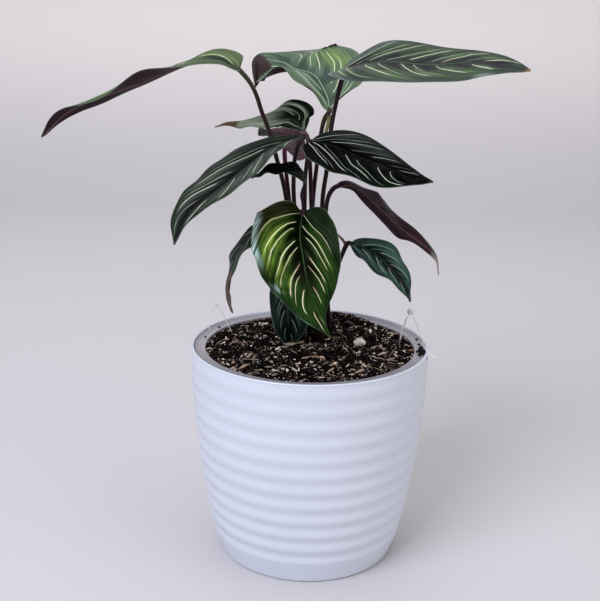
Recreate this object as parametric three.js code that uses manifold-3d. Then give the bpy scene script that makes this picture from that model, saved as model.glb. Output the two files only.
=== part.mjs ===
// A young calathea in its growing pot, standing in a ribbed decorative pot.
// Millimetres, +Z up, the front towards -Y. The origin is the middle of the pot's flat underside.
import * as THREE from 'three';
import Module from 'manifold-3d';
import { mergeVertices } from 'three/addons/utils/BufferGeometryUtils.js';

// Decorative pot
const potHeight = 137;
const rimRadius = 75;
const footRadius = 57;
const footRounding = 2;
const wallThickness = 2.2;
const floorThickness = 3;
const bellyPower = 0.82; // how early the side swells out on its way up
const ribPitch = 10.4;
const ribCount = 11;
const firstGrooveHeight = 20.3;
const ribDepthLow = 0.8; // the ribs fade towards the rim
const ribDepthHigh = 0.35;
const stepsPerRib = 3;
const potSegments = 36;
const rimRounding = 0.5;
const insideShares = [0.98, 0.7, 0.4, 0.15]; // of the height, where the inside wall has a corner

// Growing pot, which stands on the decorative pot's floor
const seatGap = 0.3; // between touching pieces
const linerRimHeight = 135.8;
const linerRimRadius = 71.2;
const linerLedgeRadius = 66;
const linerFootRadius = 49;
const linerWall = 0.9;
const linerBead = 0.9;
const drainHoles = 5;
const drainRadius = 4;
const drainRing = 28;
const drainSides = 10;

// Soil
const soilHeight = 132;
const soilRelief = 1.1;
const soilRings = 9;
const rootDepth = 18; // how far a stalk stands in the soil
const stalkClearance = 0.35;

// Leaves
const bladeThickness = 0.7;
const midribKeel = 0.9; // extra depth under the blade along its midrib
const keelTaper = 0.8;
const lobeReach = 0.3; // share of the blade's length that the base lobes shape
const taperStart = 0.7; // share of the length where the tip starts to draw out
const stalkRadiusLow = 1.75;
const stalkRadiusHigh = 1.35;
const stalkSides = 7;
const frameSteps = 96;
const bladeEnd = 0.8; // half the blade's width at its very base and tip
const acrossBlade = [-1, -0.56, -0.12, 0, 0.12, 0.56, 1]; // columns of the blade's mesh
const stalkSteps = 13;
const sheathRadius = 1.4;
const spurRadius = 1;
const sideGrowthSteps = 7;

// Lifting loops
const threadRadius = 0.4;
const threadSides = 6;
const threadSteps = 32;
const coilRadius = 1.5;
const coilThickness = 0.6;
const knotRadius = 1;
const threadEndSteps = 6;

// Each leaf, as seen from the front. Its stalk stands at crown on the soil, passes through stalk and
// ends a gap short of the blade. The midrib runs through rib, facing is where the blade's upper side
// looks at its base, and turn is how far the blade twists about the midrib on its way out. Along each
// half, fold is the rise from the midrib and bend is how far the half curls, both in degrees. A ripple
// is the height, the number and the start of the margin's waves, and a lobe reaches back past the base.
// A slim stalk has that share of the usual thickness.
const leaves = [
  {
    name: 'upper_left', rows: 24, gap: 1,
    crown: [-9, 26],
    stalk: [
      [-13, 18, 193], [-17, 16, 228], [-23, 14, 252], [-28, 13, 269], [-32, 10, 280], [-35, 6, 290],
      [-39, 3, 298],
    ],
    rib: [
      [-45, 0, 305], [-58, -2, 310], [-77, -8, 307], [-100, -10, 298], [-140, -16, 282],
      [-158, -20, 266],
    ],
    facing: [0, -0.3, 1], turn: [-9, 13, 29, 18, 49],
    width: 45, widest: 0.29, fullness: 0.48, taper: 0.29, lean: -0.15,
    left: { fold: [21, 13], bend: [-10, -15], ripple: [-1.8, 2.3, -0.22], lobe: 3 },
    right: { fold: [5, -2], bend: [-26, -18], ripple: [3.1, 2.1, 0.22], lobe: 4 },
  },
  {
    name: 'upper_back', rows: 32, gap: 1.8,
    crown: [5, 32], stalk: [[0, 27, 184], [0, 19, 222], [2, 16, 247], [4, 12, 266], [6, 10, 276]],
    rib: [
      [9, 8, 281], [7, 25, 289], [-1, 40, 300], [-14, 55, 303], [-22, 69, 306], [-38, 73, 307],
      [-40, 74, 299], [-40, 78, 289],
    ],
    facing: [0, -0.9, 0.5], turn: [-15, 24, 11, -25],
    width: 62, widest: 0.47, fullness: 0.80, taper: 0.19, lean: -0.15,
    left: { fold: [27, 4, -5], bend: [25, -59], ripple: [-3.1, 3.1, 0.43], lobe: 3 },
    right: { fold: [9, 32, -15], bend: [18, -59], ripple: [-1.6, 3.6, 0.59], lobe: 3 },
  },
  {
    name: 'upper_right', rows: 24, gap: 1,
    crown: [12, 28], stalk: [[6, 14, 194], [6, 7, 227], [8, 4, 246], [10, 1, 271], [13, -1, 289]],
    rib: [[16, -2, 302], [18, -6, 307], [37, -19, 312], [63, -25, 311], [92, -34, 313], [116, -46, 310]],
    facing: [0, -0.6, 1], turn: [-18, -8, -2, -3, 14],
    width: 47, widest: 0.34, fullness: 0.66, taper: 0.19, lean: -0.15,
    left: { fold: [19, 5], bend: [-8, -19], ripple: [-0.4, 2.1, -0.01], lobe: 3 },
    right: { fold: [11, 12], bend: [-13, -12], ripple: [1.9, 2.1, 0.23], lobe: 3 },
  },
  {
    name: 'middle_left_small', rows: 16, gap: 1,
    crown: [7, 25], stalk: [[1, 17, 193], [-1, 12, 226], [-2, 13, 246], [-3, 14, 256], [-4, 15, 264]],
    rib: [
      [-6, 16, 267], [-10, 21, 271], [-17, 29, 274], [-41, 35, 269.8], [-55, 36, 269], [-63, 37, 267],
    ],
    facing: [0, -0.5, 1], turn: [10, 9, -12],
    width: 39, widest: 0.46, fullness: 1.07, taper: 0.27, lean: -0.15,
    left: { fold: [-3, 21], bend: [-23, -7], ripple: [0.5, 3.7, 0.04], lobe: 1 },
    right: { fold: [29, -9], bend: [8, -31], ripple: [0.8, 3.3, 0.17], lobe: 2 },
  },
  {
    name: 'middle_left', rows: 24, gap: 2.4,
    crown: [-5, 22],
    stalk: [
      [-9.2, 13, 194], [-11.7, 12, 226], [-12.1, 11, 238], [-11.6, 9, 251], [-9.7, 4, 260],
      [-7, -2, 265],
    ],
    rib: [
      [-6, -9, 268], [-25, -14.5, 261.3], [-36.5, -19, 253], [-53, -26.8, 240], [-72, -37, 225.2],
      [-78.6, -45, 209.5],
    ],
    facing: [-0.4, -0.5, 0.75], turn: [22, 12, 7],
    width: 52, widest: 0.43, fullness: 0.72, taper: 0.39, lean: -0.15,
    left: { fold: [13, 17], bend: [-12, -10], ripple: [0.4, 4.6, -0.01], lobe: 3 },
    right: { fold: [9, 8], bend: [-15, -14], ripple: [-0.4, 5.2, 0.10], lobe: 3 },
  },
  {
    name: 'middle_right', rows: 24, gap: 1.7,
    crown: [0, 27],
    stalk: [
      [-3.5, 12.5, 193], [-4.8, 9, 215], [-5, 7, 233], [-4.8, 5, 243], [-3.6, 0, 255],
      [-2.8, -6, 261],
    ],
    rib: [
      [-2, -10, 265], [10, -17, 264], [26, -27, 259], [40, -38, 255.2], [54, -49.5, 251.2],
      [65, -60, 250.8],
    ],
    facing: [0.1, -0.6, 0.8], turn: [-19, -19, -4],
    width: 58, widest: 0.40, fullness: 0.72, taper: 0.28, lean: -0.15,
    left: { fold: [18, -8], bend: [-10, -29], ripple: [0.1, 3.4, 0.32], lobe: 5 },
    right: { fold: [10, 12], bend: [-14, -14], ripple: [-0.6, 3.6, 0.56], lobe: 3 },
  },
  {
    name: 'front', rows: 24, gap: 1.4,
    crown: [5, 15], stalk: [[1, 9, 178], [-3, 0, 208], [-6, -12, 222], [-7, -20, 225]],
    rib: [[-6, -26, 225], [-7, -39, 215], [-5, -49, 205], [-2, -54, 191], [3, -61, 176], [12, -63, 161]],
    facing: [0, -0.9, 0.5], turn: [-8, 0, -35],
    width: 55, widest: 0.28, fullness: 1.02, taper: 0.22, lean: -0.10,
    left: { fold: [50, -3], bend: [18, -24], ripple: [-0.3, 5.0, 0.68], lobe: 2 },
    right: { fold: [34, 19], bend: [-20, -52], ripple: [-4.8, 4.8, 0.72], lobe: 6 },
  },
  {
    name: 'low_front', rows: 16, gap: 1.7,
    crown: [-4, 14], stalk: [[-9, 12, 168], [-13, 9, 187], [-15, 6, 190]],
    rib: [[-16, 3, 188], [-15, -1, 171], [-14, -4, 152], [-13, -1, 135]],
    facing: [0, -0.9, 0.4], turn: [4, -3],
    width: 26, widest: 0.44, fullness: 0.52, taper: 0.04, lean: 0.15,
    left: { fold: [11, 14], bend: [-13, -9], ripple: [0.8, 3.0, 0.20], lobe: 3 },
    right: { fold: [10, 15], bend: [-18, -15], ripple: [0.8, 3.0, 0.20], lobe: 3 },
  },
  {
    name: 'right_folded', rows: 16, gap: 1,
    crown: [13, 21], stalk: [[8, 5, 196], [8, -2, 220], [9, -4, 230], [11, -5, 235]],
    rib: [[14, -6, 238], [25, -9, 239], [41, -18, 227], [53, -31, 218], [70, -40, 206], [73, -46, 195]],
    facing: [0.4, 0.6, 0.7], turn: [32, 7, -5],
    width: 39, widest: 0.41, fullness: 0.87, taper: 0.53, lean: -0.15,
    left: { fold: [-4, 20], bend: [-27, -7], ripple: [0.8, 3.0, 0.20], lobe: 3 },
    right: { fold: [10, -5], bend: [-13, -26], ripple: [0.8, 3.0, 0.20], lobe: 2 },
  },
  {
    name: 'lower_right', rows: 16, gap: 1.4,
    crown: [7.5, 11.5], stalk: [[8.5, 1, 165], [16.5, -8, 191], [21, -12, 204]],
    rib: [[23, -14, 205], [35, -20, 202], [44, -26, 196], [53, -32, 187], [58, -40, 177]],
    facing: [0.4, -0.6, 0.6], turn: [-9, -16, -23],
    width: 33, widest: 0.47, fullness: 0.82, taper: 0.11, lean: 0.02,
    left: { fold: [18, -5], bend: [-8, -27], ripple: [0.8, 3.0, 0.20], lobe: 3 },
    right: { fold: [12, 17], bend: [-14, -9], ripple: [0.8, 3.0, 0.20], lobe: 1 },
  },
  {
    name: 'lower_left', rows: 16, gap: 2.1,
    crown: [-10, 17], stalk: [[-15, 12, 168], [-23, 6, 198], [-30, 2, 212], [-33, -2, 213]],
    rib: [[-34, -6, 211], [-41, -7, 203], [-47, -12, 192], [-50, -17, 173], [-47, -24, 163]],
    facing: [-0.8, -0.5, 0.4], turn: [19, 25, 9],
    width: 31, widest: 0.38, fullness: 0.67, taper: 0.26, lean: -0.01,
    left: { fold: [1, 25], bend: [-23, -3], ripple: [0.8, 3.0, 0.20], lobe: 3 },
    right: { fold: [12, -3], bend: [-13, -25], ripple: [0.8, 3.0, 0.20], lobe: 4 },
  },
  {
    name: 'inner_young', rows: 12, gap: 1, slim: 0.6,
    crown: [0, 20], stalk: [[-4, 8, 195], [-6, 1, 224], [-7, -2, 232], [-5, -5, 239]],
    rib: [[-5, -8, 243], [-9, -11, 248], [-17, -9, 249], [-27, -7, 247], [-37, -6, 242]],
    facing: [-0.2, -0.5, 0.85], turn: [4, -1],
    width: 17, widest: 0.39, fullness: 0.61, taper: 0.30, lean: 0.02,
    left: { fold: [10], bend: [-25, -3], ripple: [0.8, 3.0, 0.20], lobe: 6 },
    right: { fold: [9], bend: [-27, -2], ripple: [0.8, 3.0, 0.20], lobe: 3 },
  },
  {
    name: 'behind', rows: 16, gap: 2.2,
    crown: [-5, 31], stalk: [[-11, 23, 191], [-15, 20, 226], [-17, 19, 242], [-18, 18, 253]],
    rib: [[-18, 18, 257], [-18, 36, 259], [-19, 55, 258], [-21, 72, 263], [-21, 88, 261]],
    facing: [-0.45, 0, -0.9], turn: [18, -31],
    width: 36, widest: 0.37, fullness: 0.80, taper: 0.36, lean: -0.04,
    left: { fold: [-3], bend: [21, 11], ripple: [-0.8, 3.0, 0.20], lobe: 3 },
    right: { fold: [1], bend: [17, 17], ripple: [-0.8, 3.0, 0.20], lobe: 3 },
  },
];

// Where the open sheath beside the upper back leaf's stalk runs, and the dry spur on another one.
const sheathCourse = [[4.6, 11.6, 262], [6.4, 11, 266], [8, 9.8, 272], [8.7, 8.9, 276], [8.8, 8.3, 278.6]];
const spurCourse = [[20.6, -12, 203.4], [18.6, -12.6, 206.6], [15, -13, 210.4]];

// Two lifting loops of clear thread. Each comes up out of the soil and goes back over the rim.
const loops = [
  {
    name: 'pull_loop_left',
    course: [
      [-51, 27, 124], [-51, 27, 131], [-52.8, 27, 136.3], [-54.6, 27, 140], [-58.2, 27.5, 147.1],
      [-62.1, 28, 152.1], [-66.5, 28, 147.2], [-69.1, 28, 143.6], [-69.8, 28, 139.9],
      [-67.6, 27.4, 138.2], [-66.5, 27, 136.2], [-66.5, 27, 132], [-66.5, 27, 128],
    ],
    knot: [-62.1, 28, 152.1],
    looseEnd: [[-62.1, 28, 152.1], [-62.8, 28, 153.6], [-64.4, 28, 154.6]],
  },
  {
    name: 'pull_loop_right',
    course: [
      [58.7, 18, 124], [58.7, 18, 131.5], [59.1, 18, 137.4], [59.5, 18, 141.6], [61, 18, 144.4],
      [61.9, 18, 147.6], [63.4, 18, 151.1], [64.6, 18, 153.5], [65.8, 18, 151.6], [68.4, 18, 146.4],
      [69.9, 18, 142.4], [71.4, 16, 138.6], [71.9, 9, 137.4], [71.7, 0, 137.1], [71.9, -8, 137.4],
      [72.6, -16, 138], [74, -21, 138], [76, -27, 137.8],
    ],
    coil: [64.6, 18, 153.5],
  },
];

const whitePlastic = new THREE.MeshStandardMaterial({ color: 0xdfe4f2, roughness: 0.35, metalness: 0 });
const greyPlastic = new THREE.MeshStandardMaterial({ color: 0x9a9ea6, roughness: 0.4, metalness: 0 });
const coirSoil = new THREE.MeshStandardMaterial({ color: 0x2a1c16, roughness: 0.95, metalness: 0 });
const greenLeaf = new THREE.MeshStandardMaterial({ color: 0x1f3b1c, roughness: 0.45, metalness: 0 });
const maroonStalk = new THREE.MeshStandardMaterial({ color: 0x3a1a1e, roughness: 0.5, metalness: 0 });
const clearNylon = new THREE.MeshStandardMaterial({ color: 0xd8dadc, roughness: 0.2, metalness: 0 });

const wasm = await Module();
wasm.setup();

const plant = new THREE.Group();
plant.name = 'potted_calathea';

// A geometry with shared corners and no collapsed faces, as a closed body needs.
function closed(geometry) {
  geometry.deleteAttribute('normal');
  geometry.deleteAttribute('uv');
  const merged = mergeVertices(geometry, 1e-3);
  const kept = [];
  const index = merged.index.array;
  for (let i = 0; i < index.length; i += 3) {
    const [a, b, c] = index.slice(i, i + 3);
    if (a !== b && b !== c && c !== a) kept.push(a, b, c);
  }
  merged.setIndex(kept);
  return merged;
}

function solidOf(geometry) {
  return new wasm.Manifold(new wasm.Mesh({
    numProp: 3,
    vertProperties: geometry.getAttribute('position').array,
    triVerts: new Uint32Array(geometry.index.array),
  }));
}

function geometryOf(solid) {
  const { vertProperties, triVerts } = solid.getMesh();
  const geometry = new THREE.BufferGeometry();
  geometry.setAttribute('position', new THREE.BufferAttribute(vertProperties, 3));
  geometry.setIndex(Array.from(triVerts));
  return geometry;
}

function add(name, geometry, material) {
  const shaded = geometry.clone();
  shaded.computeVertexNormals();
  const mesh = new THREE.Mesh(shaded, material);
  mesh.name = name;
  plant.add(mesh);
}

// Turns a profile of [radius, height] pairs round the upright axis.
function turned(profile, segments) {
  const outline = profile.map(([radius, height]) => new THREE.Vector2(radius, height));
  const geometry = new THREE.LatheGeometry(outline, segments);
  geometry.rotateX(Math.PI / 2);
  return closed(geometry);
}

// The decorative pot's side without its ribs.
function sideRadius(height) {
  const rise = Math.sin(Math.PI / 2 * (height / potHeight) ** bellyPower);
  return footRadius + (rimRadius - footRadius) * rise;
}

function ribbedRadius(height) {
  const along = (height - firstGrooveHeight) / ribPitch;
  const fade = THREE.MathUtils.lerp(ribDepthLow, ribDepthHigh, along / ribCount);
  return sideRadius(height) - fade * (1 + Math.cos(2 * Math.PI * along)) / 2;
}

function outerPot() {
  const profile = [[0, 0], [footRadius - footRounding, 0], [footRadius, footRounding]];
  profile.push([sideRadius(firstGrooveHeight - ribPitch / 2), firstGrooveHeight - ribPitch / 2]);
  for (let step = 0; step <= ribCount * stepsPerRib; step += 1) {
    const height = firstGrooveHeight + step * ribPitch / stepsPerRib;
    profile.push([ribbedRadius(height), height]);
  }
  profile.push([rimRadius - rimRounding, potHeight]);
  profile.push([rimRadius - wallThickness + rimRounding, potHeight]);
  for (const share of insideShares) {
    const height = share * potHeight;
    profile.push([sideRadius(height) - wallThickness, height]);
  }
  profile.push([footRadius - wallThickness, floorThickness], [0, floorThickness]);
  return turned(profile, potSegments);
}

// The inside radius of the growing pot's tapered wall.
function linerInside(height) {
  const low = floorThickness + seatGap;
  const share = (height - low) / (linerRimHeight - low);
  return THREE.MathUtils.lerp(linerFootRadius - linerWall, linerLedgeRadius, share);
}

// The growing pot: a tapered thin wall, drain holes, and a wide flat ledge with two raised beads.
function growingPot() {
  const bottom = floorThickness + seatGap;
  const ledgeUnder = linerRimHeight - linerBead - linerWall;
  const profile = [
    [0, bottom],
    [linerFootRadius, bottom],
    [linerInside(ledgeUnder) + linerWall, ledgeUnder],
    [linerRimRadius, ledgeUnder],
    [linerRimRadius, linerRimHeight],
    [linerRimRadius - linerBead, linerRimHeight],
    [linerRimRadius - 2 * linerBead, linerRimHeight - linerBead],
    [linerLedgeRadius + 2 * linerBead, linerRimHeight - linerBead],
    [linerLedgeRadius + linerBead, linerRimHeight - linerBead / 2],
    [linerLedgeRadius, linerRimHeight - linerBead / 2],
    [linerInside(ledgeUnder), ledgeUnder],
    [linerInside(bottom + linerWall), bottom + linerWall],
    [0, bottom + linerWall],
  ];
  let pot = solidOf(turned(profile, potSegments));
  for (let hole = 0; hole < drainHoles; hole += 1) {
    const angle = 2 * Math.PI * hole / drainHoles;
    const drill = new THREE.CylinderGeometry(drainRadius, drainRadius, 4 * linerWall, drainSides);
    drill.rotateX(Math.PI / 2);
    drill.translate(drainRing * Math.cos(angle), drainRing * Math.sin(angle), bottom);
    pot = pot.subtract(solidOf(closed(drill)));
  }
  return geometryOf(pot);
}

// Low mounds on the soil, none at its edge: small ones on broader swells.
function mound(x, y) {
  const edge = 1 - (Math.hypot(x, y) / linerLedgeRadius) ** 6;
  const coarse = Math.sin(x * 0.31 + 1) * Math.cos(y * 0.27);
  const broad = 0.5 * Math.sin(x * 0.13 - y * 0.19);
  return soilRelief * edge * (coarse + broad);
}

// The soil fills the growing pot. The stalks and the loops' ends stand in plain holes.
function soil(holes) {
  const bottom = floorThickness + seatGap + linerWall + seatGap;
  const top = linerInside(soilHeight) - seatGap;
  const profile = [[0, bottom], [linerInside(bottom) - seatGap, bottom], [top, soilHeight]];
  for (let ring = soilRings; ring >= 0; ring -= 1) {
    profile.push([top * ring / (soilRings + 1), soilHeight]);
  }
  const geometry = turned(profile, potSegments);
  const place = geometry.getAttribute('position');
  for (let i = 0; i < place.count; i += 1) {
    if (place.getZ(i) > soilHeight - 1) {
      place.setZ(i, soilHeight + mound(place.getX(i), place.getY(i)));
    }
  }
  let body = solidOf(geometry);
  for (const hole of holes) body = body.subtract(hole);
  return geometryOf(body);
}

// A round rod that follows a smooth curve and thins towards its end.
function rod(points, radiusStart, radiusEnd, sides, steps) {
  const curve = new THREE.CatmullRomCurve3(points, false, 'catmullrom', 0.5);
  const { normals, binormals } = curve.computeFrenetFrames(steps);
  const geometry = new THREE.CylinderGeometry(radiusEnd, radiusStart, 1, sides, steps);
  const place = geometry.getAttribute('position');
  for (let i = 0; i < place.count; i += 1) {
    const along = place.getY(i) + 0.5;
    const step = Math.round(along * steps);
    const point = curve.getPointAt(along);
    point.addScaledVector(normals[step], place.getX(i));
    point.addScaledVector(binormals[step], -place.getZ(i));
    place.setXYZ(i, point.x, point.y, point.z);
  }
  return closed(geometry);
}

function vectors(points) {
  return points.map((p) => new THREE.Vector3(...p));
}

// A value that changes smoothly along the blade, from evenly spread stops.
function eased(stops, along) {
  if (stops.length === 1) return stops[0];
  const place = along * (stops.length - 1);
  const low = Math.min(Math.floor(place), stops.length - 2);
  return THREE.MathUtils.lerp(stops[low], stops[low + 1], THREE.MathUtils.smoothstep(place - low, 0, 1));
}

// Where the midrib runs, and which way the blade faces and spreads there.
function midribFrames(leaf) {
  const curve = new THREE.CatmullRomCurve3(vectors(leaf.rib), false, 'catmullrom', 0.5);
  const carried = new THREE.Vector3(...leaf.facing);
  const frames = [];
  for (let step = 0; step <= frameSteps; step += 1) {
    const along = step / frameSteps;
    const ahead = curve.getTangentAt(along);
    carried.addScaledVector(ahead, -carried.dot(ahead)).normalize();
    const turn = THREE.MathUtils.degToRad(eased(leaf.turn, along));
    const facing = carried.clone().applyAxisAngle(ahead, turn);
    const right = new THREE.Vector3().crossVectors(ahead, facing);
    frames.push({ along, point: curve.getPointAt(along), ahead, facing, right });
  }
  return frames;
}

// Half the blade's width at a share of its length: round at the base, drawn out at the tip.
function halfWidth(leaf, along) {
  const skewed = along ** (Math.log(0.5) / Math.log(leaf.widest));
  const full = Math.max(0, Math.sin(Math.PI * skewed)) ** leaf.fullness;
  const drawn = 1 - leaf.taper * THREE.MathUtils.smoothstep(along, taperStart, 1);
  return Math.max(bladeEnd, leaf.width / 2 * full * drawn);
}

// A point of the blade: across runs from -1 at the left margin to 1 at the right one.
function bladePoint(leaf, { along, point, ahead, facing, right }, across) {
  const hand = across < 0 ? -1 : 1;
  const out = Math.abs(across);
  const { fold: foldStops, bend: bendStops, ripple, lobe } = across < 0 ? leaf.left : leaf.right;
  const fold = THREE.MathUtils.degToRad(eased(foldStops, along));
  const bend = THREE.MathUtils.degToRad(eased(bendStops, along)) || 1e-6;
  const share = 2 * halfWidth(leaf, along) / leaf.width;
  const half = halfWidth(leaf, along) * (1 - hand * leaf.lean);
  const outward = half * (Math.sin(fold + bend * out) - Math.sin(fold)) / bend;
  const lift = half * (Math.cos(fold) - Math.cos(fold + bend * out)) / bend;
  const [height, count, start] = ripple;
  const wave = height * Math.min(1, 4 * share) * out ** 2 * Math.sin(2 * Math.PI * (count * along + start));
  const slope = fold + bend * out;
  const back = lobe * Math.max(0, 1 - along / lobeReach) ** 2 * out ** 1.5 * share;
  return point.clone()
    .addScaledVector(right, hand * (outward - wave * Math.sin(slope)))
    .addScaledVector(facing, lift + wave * Math.cos(slope))
    .addScaledVector(ahead, -back);
}

// The blade as a thin closed body. Both faces are split alike, and a keel runs under the midrib.
function bladeGeometry(leaf) {
  const frames = midribFrames(leaf).filter((_, step) => step % (frameSteps / leaf.rows) === 0);
  const grid = frames.map((frame) => acrossBlade.map((across) => bladePoint(leaf, frame, across)));
  const lastRow = grid.length - 1;
  const lastColumn = acrossBlade.length - 1;
  const beside = (place, step, last) => Math.min(Math.max(place + step, 0), last);
  const top = [];
  const under = [];
  for (let row = 0; row <= lastRow; row += 1) {
    for (let column = 0; column <= lastColumn; column += 1) {
      const along = grid[beside(row, 1, lastRow)][column].clone();
      along.sub(grid[beside(row, -1, lastRow)][column]);
      const outward = grid[row][beside(column, 1, lastColumn)].clone();
      outward.sub(grid[row][beside(column, -1, lastColumn)]);
      const normal = outward.cross(along).normalize();
      const keel = acrossBlade[column] === 0 ? midribKeel * (1 - keelTaper * row / lastRow) : 0;
      top.push(grid[row][column].clone().addScaledVector(normal, bladeThickness / 2));
      under.push(grid[row][column].clone().addScaledVector(normal, -bladeThickness / 2 - keel));
    }
  }
  const geometry = new THREE.BufferGeometry().setFromPoints([...top, ...under]);
  const below = top.length;
  const at = (row, column) => row * (lastColumn + 1) + column;
  const index = [];
  const wall = (a, b) => index.push(a, b, b + below, a, b + below, a + below);
  for (let row = 0; row < lastRow; row += 1) {
    for (let column = 0; column < lastColumn; column += 1) {
      const [a, b] = [at(row, column), at(row, column + 1)];
      const [c, d] = [at(row + 1, column + 1), at(row + 1, column)];
      index.push(a, b, c, a, c, d);
      index.push(a + below, c + below, b + below, a + below, d + below, c + below);
    }
    wall(at(row, 0), at(row + 1, 0));
    wall(at(row + 1, lastColumn), at(row, lastColumn));
  }
  for (let column = 0; column < lastColumn; column += 1) {
    wall(at(0, column + 1), at(0, column));
    wall(at(lastRow, column), at(lastRow, column + 1));
  }
  geometry.setIndex(index);
  return geometry;
}

// The stalk's course: from its foot in the soil, up through its bends, to just short of the blade.
function stalkPoints(leaf, depth) {
  const [x, y] = leaf.crown;
  const [base, next] = vectors(leaf.rib);
  const last = new THREE.Vector3(...leaf.stalk[leaf.stalk.length - 1]);
  const behind = base.clone().sub(next).normalize().add(last.sub(base).normalize());
  const end = base.clone().add(behind.setLength(leaf.gap));
  return [
    new THREE.Vector3(x, y, soilHeight - depth),
    new THREE.Vector3(x, y, soilHeight),
    ...leaf.stalk.map((p) => new THREE.Vector3(...p)),
    end,
  ];
}

// A leaf's stalk. Two of them carry a side growth that is one piece with the stalk.
function stalkGeometry(leaf) {
  const { slim = 1 } = leaf;
  const course = stalkPoints(leaf, rootDepth);
  const stalk = rod(course, stalkRadiusLow * slim, stalkRadiusHigh * slim, stalkSides, stalkSteps);
  const side = {
    upper_back: rod(vectors(sheathCourse), sheathRadius / 2, sheathRadius, stalkSides, sideGrowthSteps),
    lower_right: rod(vectors(spurCourse), spurRadius, spurRadius / 2, stalkSides, sideGrowthSteps),
  }[leaf.name];
  return side ? geometryOf(solidOf(stalk).add(solidOf(side))) : stalk;
}

// The hole that a stalk or a thread stands in follows the same course, a little wider.
function holeSolid(points, radiusStart, radiusEnd, sides, steps) {
  return solidOf(rod(points, radiusStart + stalkClearance, radiusEnd + stalkClearance, sides, steps));
}

// A loop of thread with its knot or its wound coil.
function loopGeometry(loop) {
  let body = solidOf(rod(vectors(loop.course), threadRadius, threadRadius, threadSides, threadSteps));
  if (loop.knot) {
    const knot = new THREE.IcosahedronGeometry(knotRadius, 1);
    knot.translate(...loop.knot);
    const end = rod(vectors(loop.looseEnd), threadRadius, threadRadius, threadSides, threadEndSteps);
    body = body.add(solidOf(closed(knot))).add(solidOf(end));
  }
  if (loop.coil) {
    const coil = new THREE.TorusGeometry(coilRadius, coilThickness, 6, 16);
    coil.rotateX(Math.PI / 2);
    coil.translate(...loop.coil);
    body = body.add(solidOf(closed(coil)));
  }
  return geometryOf(body);
}

const holes = [
  ...leaves.map((leaf) => {
    const { slim = 1 } = leaf;
    const course = stalkPoints(leaf, rootDepth + seatGap);
    return holeSolid(course, stalkRadiusLow * slim, stalkRadiusHigh * slim, stalkSides, stalkSteps);
  }),
  ...loops.map((loop) => {
    const [foot, ...above] = vectors(loop.course.slice(0, 4));
    foot.z -= seatGap;
    return holeSolid([foot, ...above], threadRadius, threadRadius, threadSides, threadEndSteps);
  }),
];

add('outer_pot', outerPot(), whitePlastic);
add('growing_pot', growingPot(), greyPlastic);
add('soil', soil(holes), coirSoil);
for (const leaf of leaves) {
  add(`stalk_${leaf.name}`, stalkGeometry(leaf), maroonStalk);
  add(`blade_${leaf.name}`, bladeGeometry(leaf), greenLeaf);
}
for (const loop of loops) add(loop.name, loopGeometry(loop), clearNylon);

export default plant;
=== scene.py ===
import math
from types import SimpleNamespace

import bmesh
import bpy
import numpy as np
from mathutils import Matrix, Vector


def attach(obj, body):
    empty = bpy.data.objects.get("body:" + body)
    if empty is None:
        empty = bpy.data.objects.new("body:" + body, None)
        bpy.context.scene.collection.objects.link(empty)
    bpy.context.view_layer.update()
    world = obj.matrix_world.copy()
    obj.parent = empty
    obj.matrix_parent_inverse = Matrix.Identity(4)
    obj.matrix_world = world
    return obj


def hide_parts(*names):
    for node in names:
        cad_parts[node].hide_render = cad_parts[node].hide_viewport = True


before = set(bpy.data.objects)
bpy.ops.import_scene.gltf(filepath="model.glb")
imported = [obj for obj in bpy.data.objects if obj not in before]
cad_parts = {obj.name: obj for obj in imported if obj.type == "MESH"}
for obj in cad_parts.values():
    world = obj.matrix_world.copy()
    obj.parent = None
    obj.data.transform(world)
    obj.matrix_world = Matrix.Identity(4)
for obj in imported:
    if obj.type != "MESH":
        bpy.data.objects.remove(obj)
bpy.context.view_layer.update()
mm = 0.001  # every size below is in millimetres, and Blender works in metres
fullTurn = 2 * math.pi
noiseSpan = (0.3, 0.7)  # nearly all of a noise lies between these
print("frame loaded:", len(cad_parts), "nodes")


# Numbers and node trees
def colourOf(code):
    # a colour as people write it, turned into the shares of light that the shaders take
    shares = [int(code[place:place + 2], 16) / 255 for place in (0, 2, 4)]
    return [s / 12.92 if s <= 0.04045 else ((s + 0.055) / 1.055) ** 2.4 for s in shares] + [1]


def eased(share):
    share = np.clip(share, 0, 1)
    return share * share * (3 - 2 * share)


def plug(tree, socket, value):
    if isinstance(value, Wire):
        value = value.socket
    if isinstance(value, bpy.types.NodeSocket):
        tree.links.new(value, socket)
    elif socket.type == "RGBA" and isinstance(value, str):
        socket.default_value = colourOf(value)
    else:
        socket.default_value = value


def addNode(tree, kind, inputs=None, **settings):
    made = tree.nodes.new(kind)
    for name, value in settings.items():
        setattr(made, name, value)
    for key, value in (inputs or {}).items():
        plug(tree, made.inputs[key], value)
    return made


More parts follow.
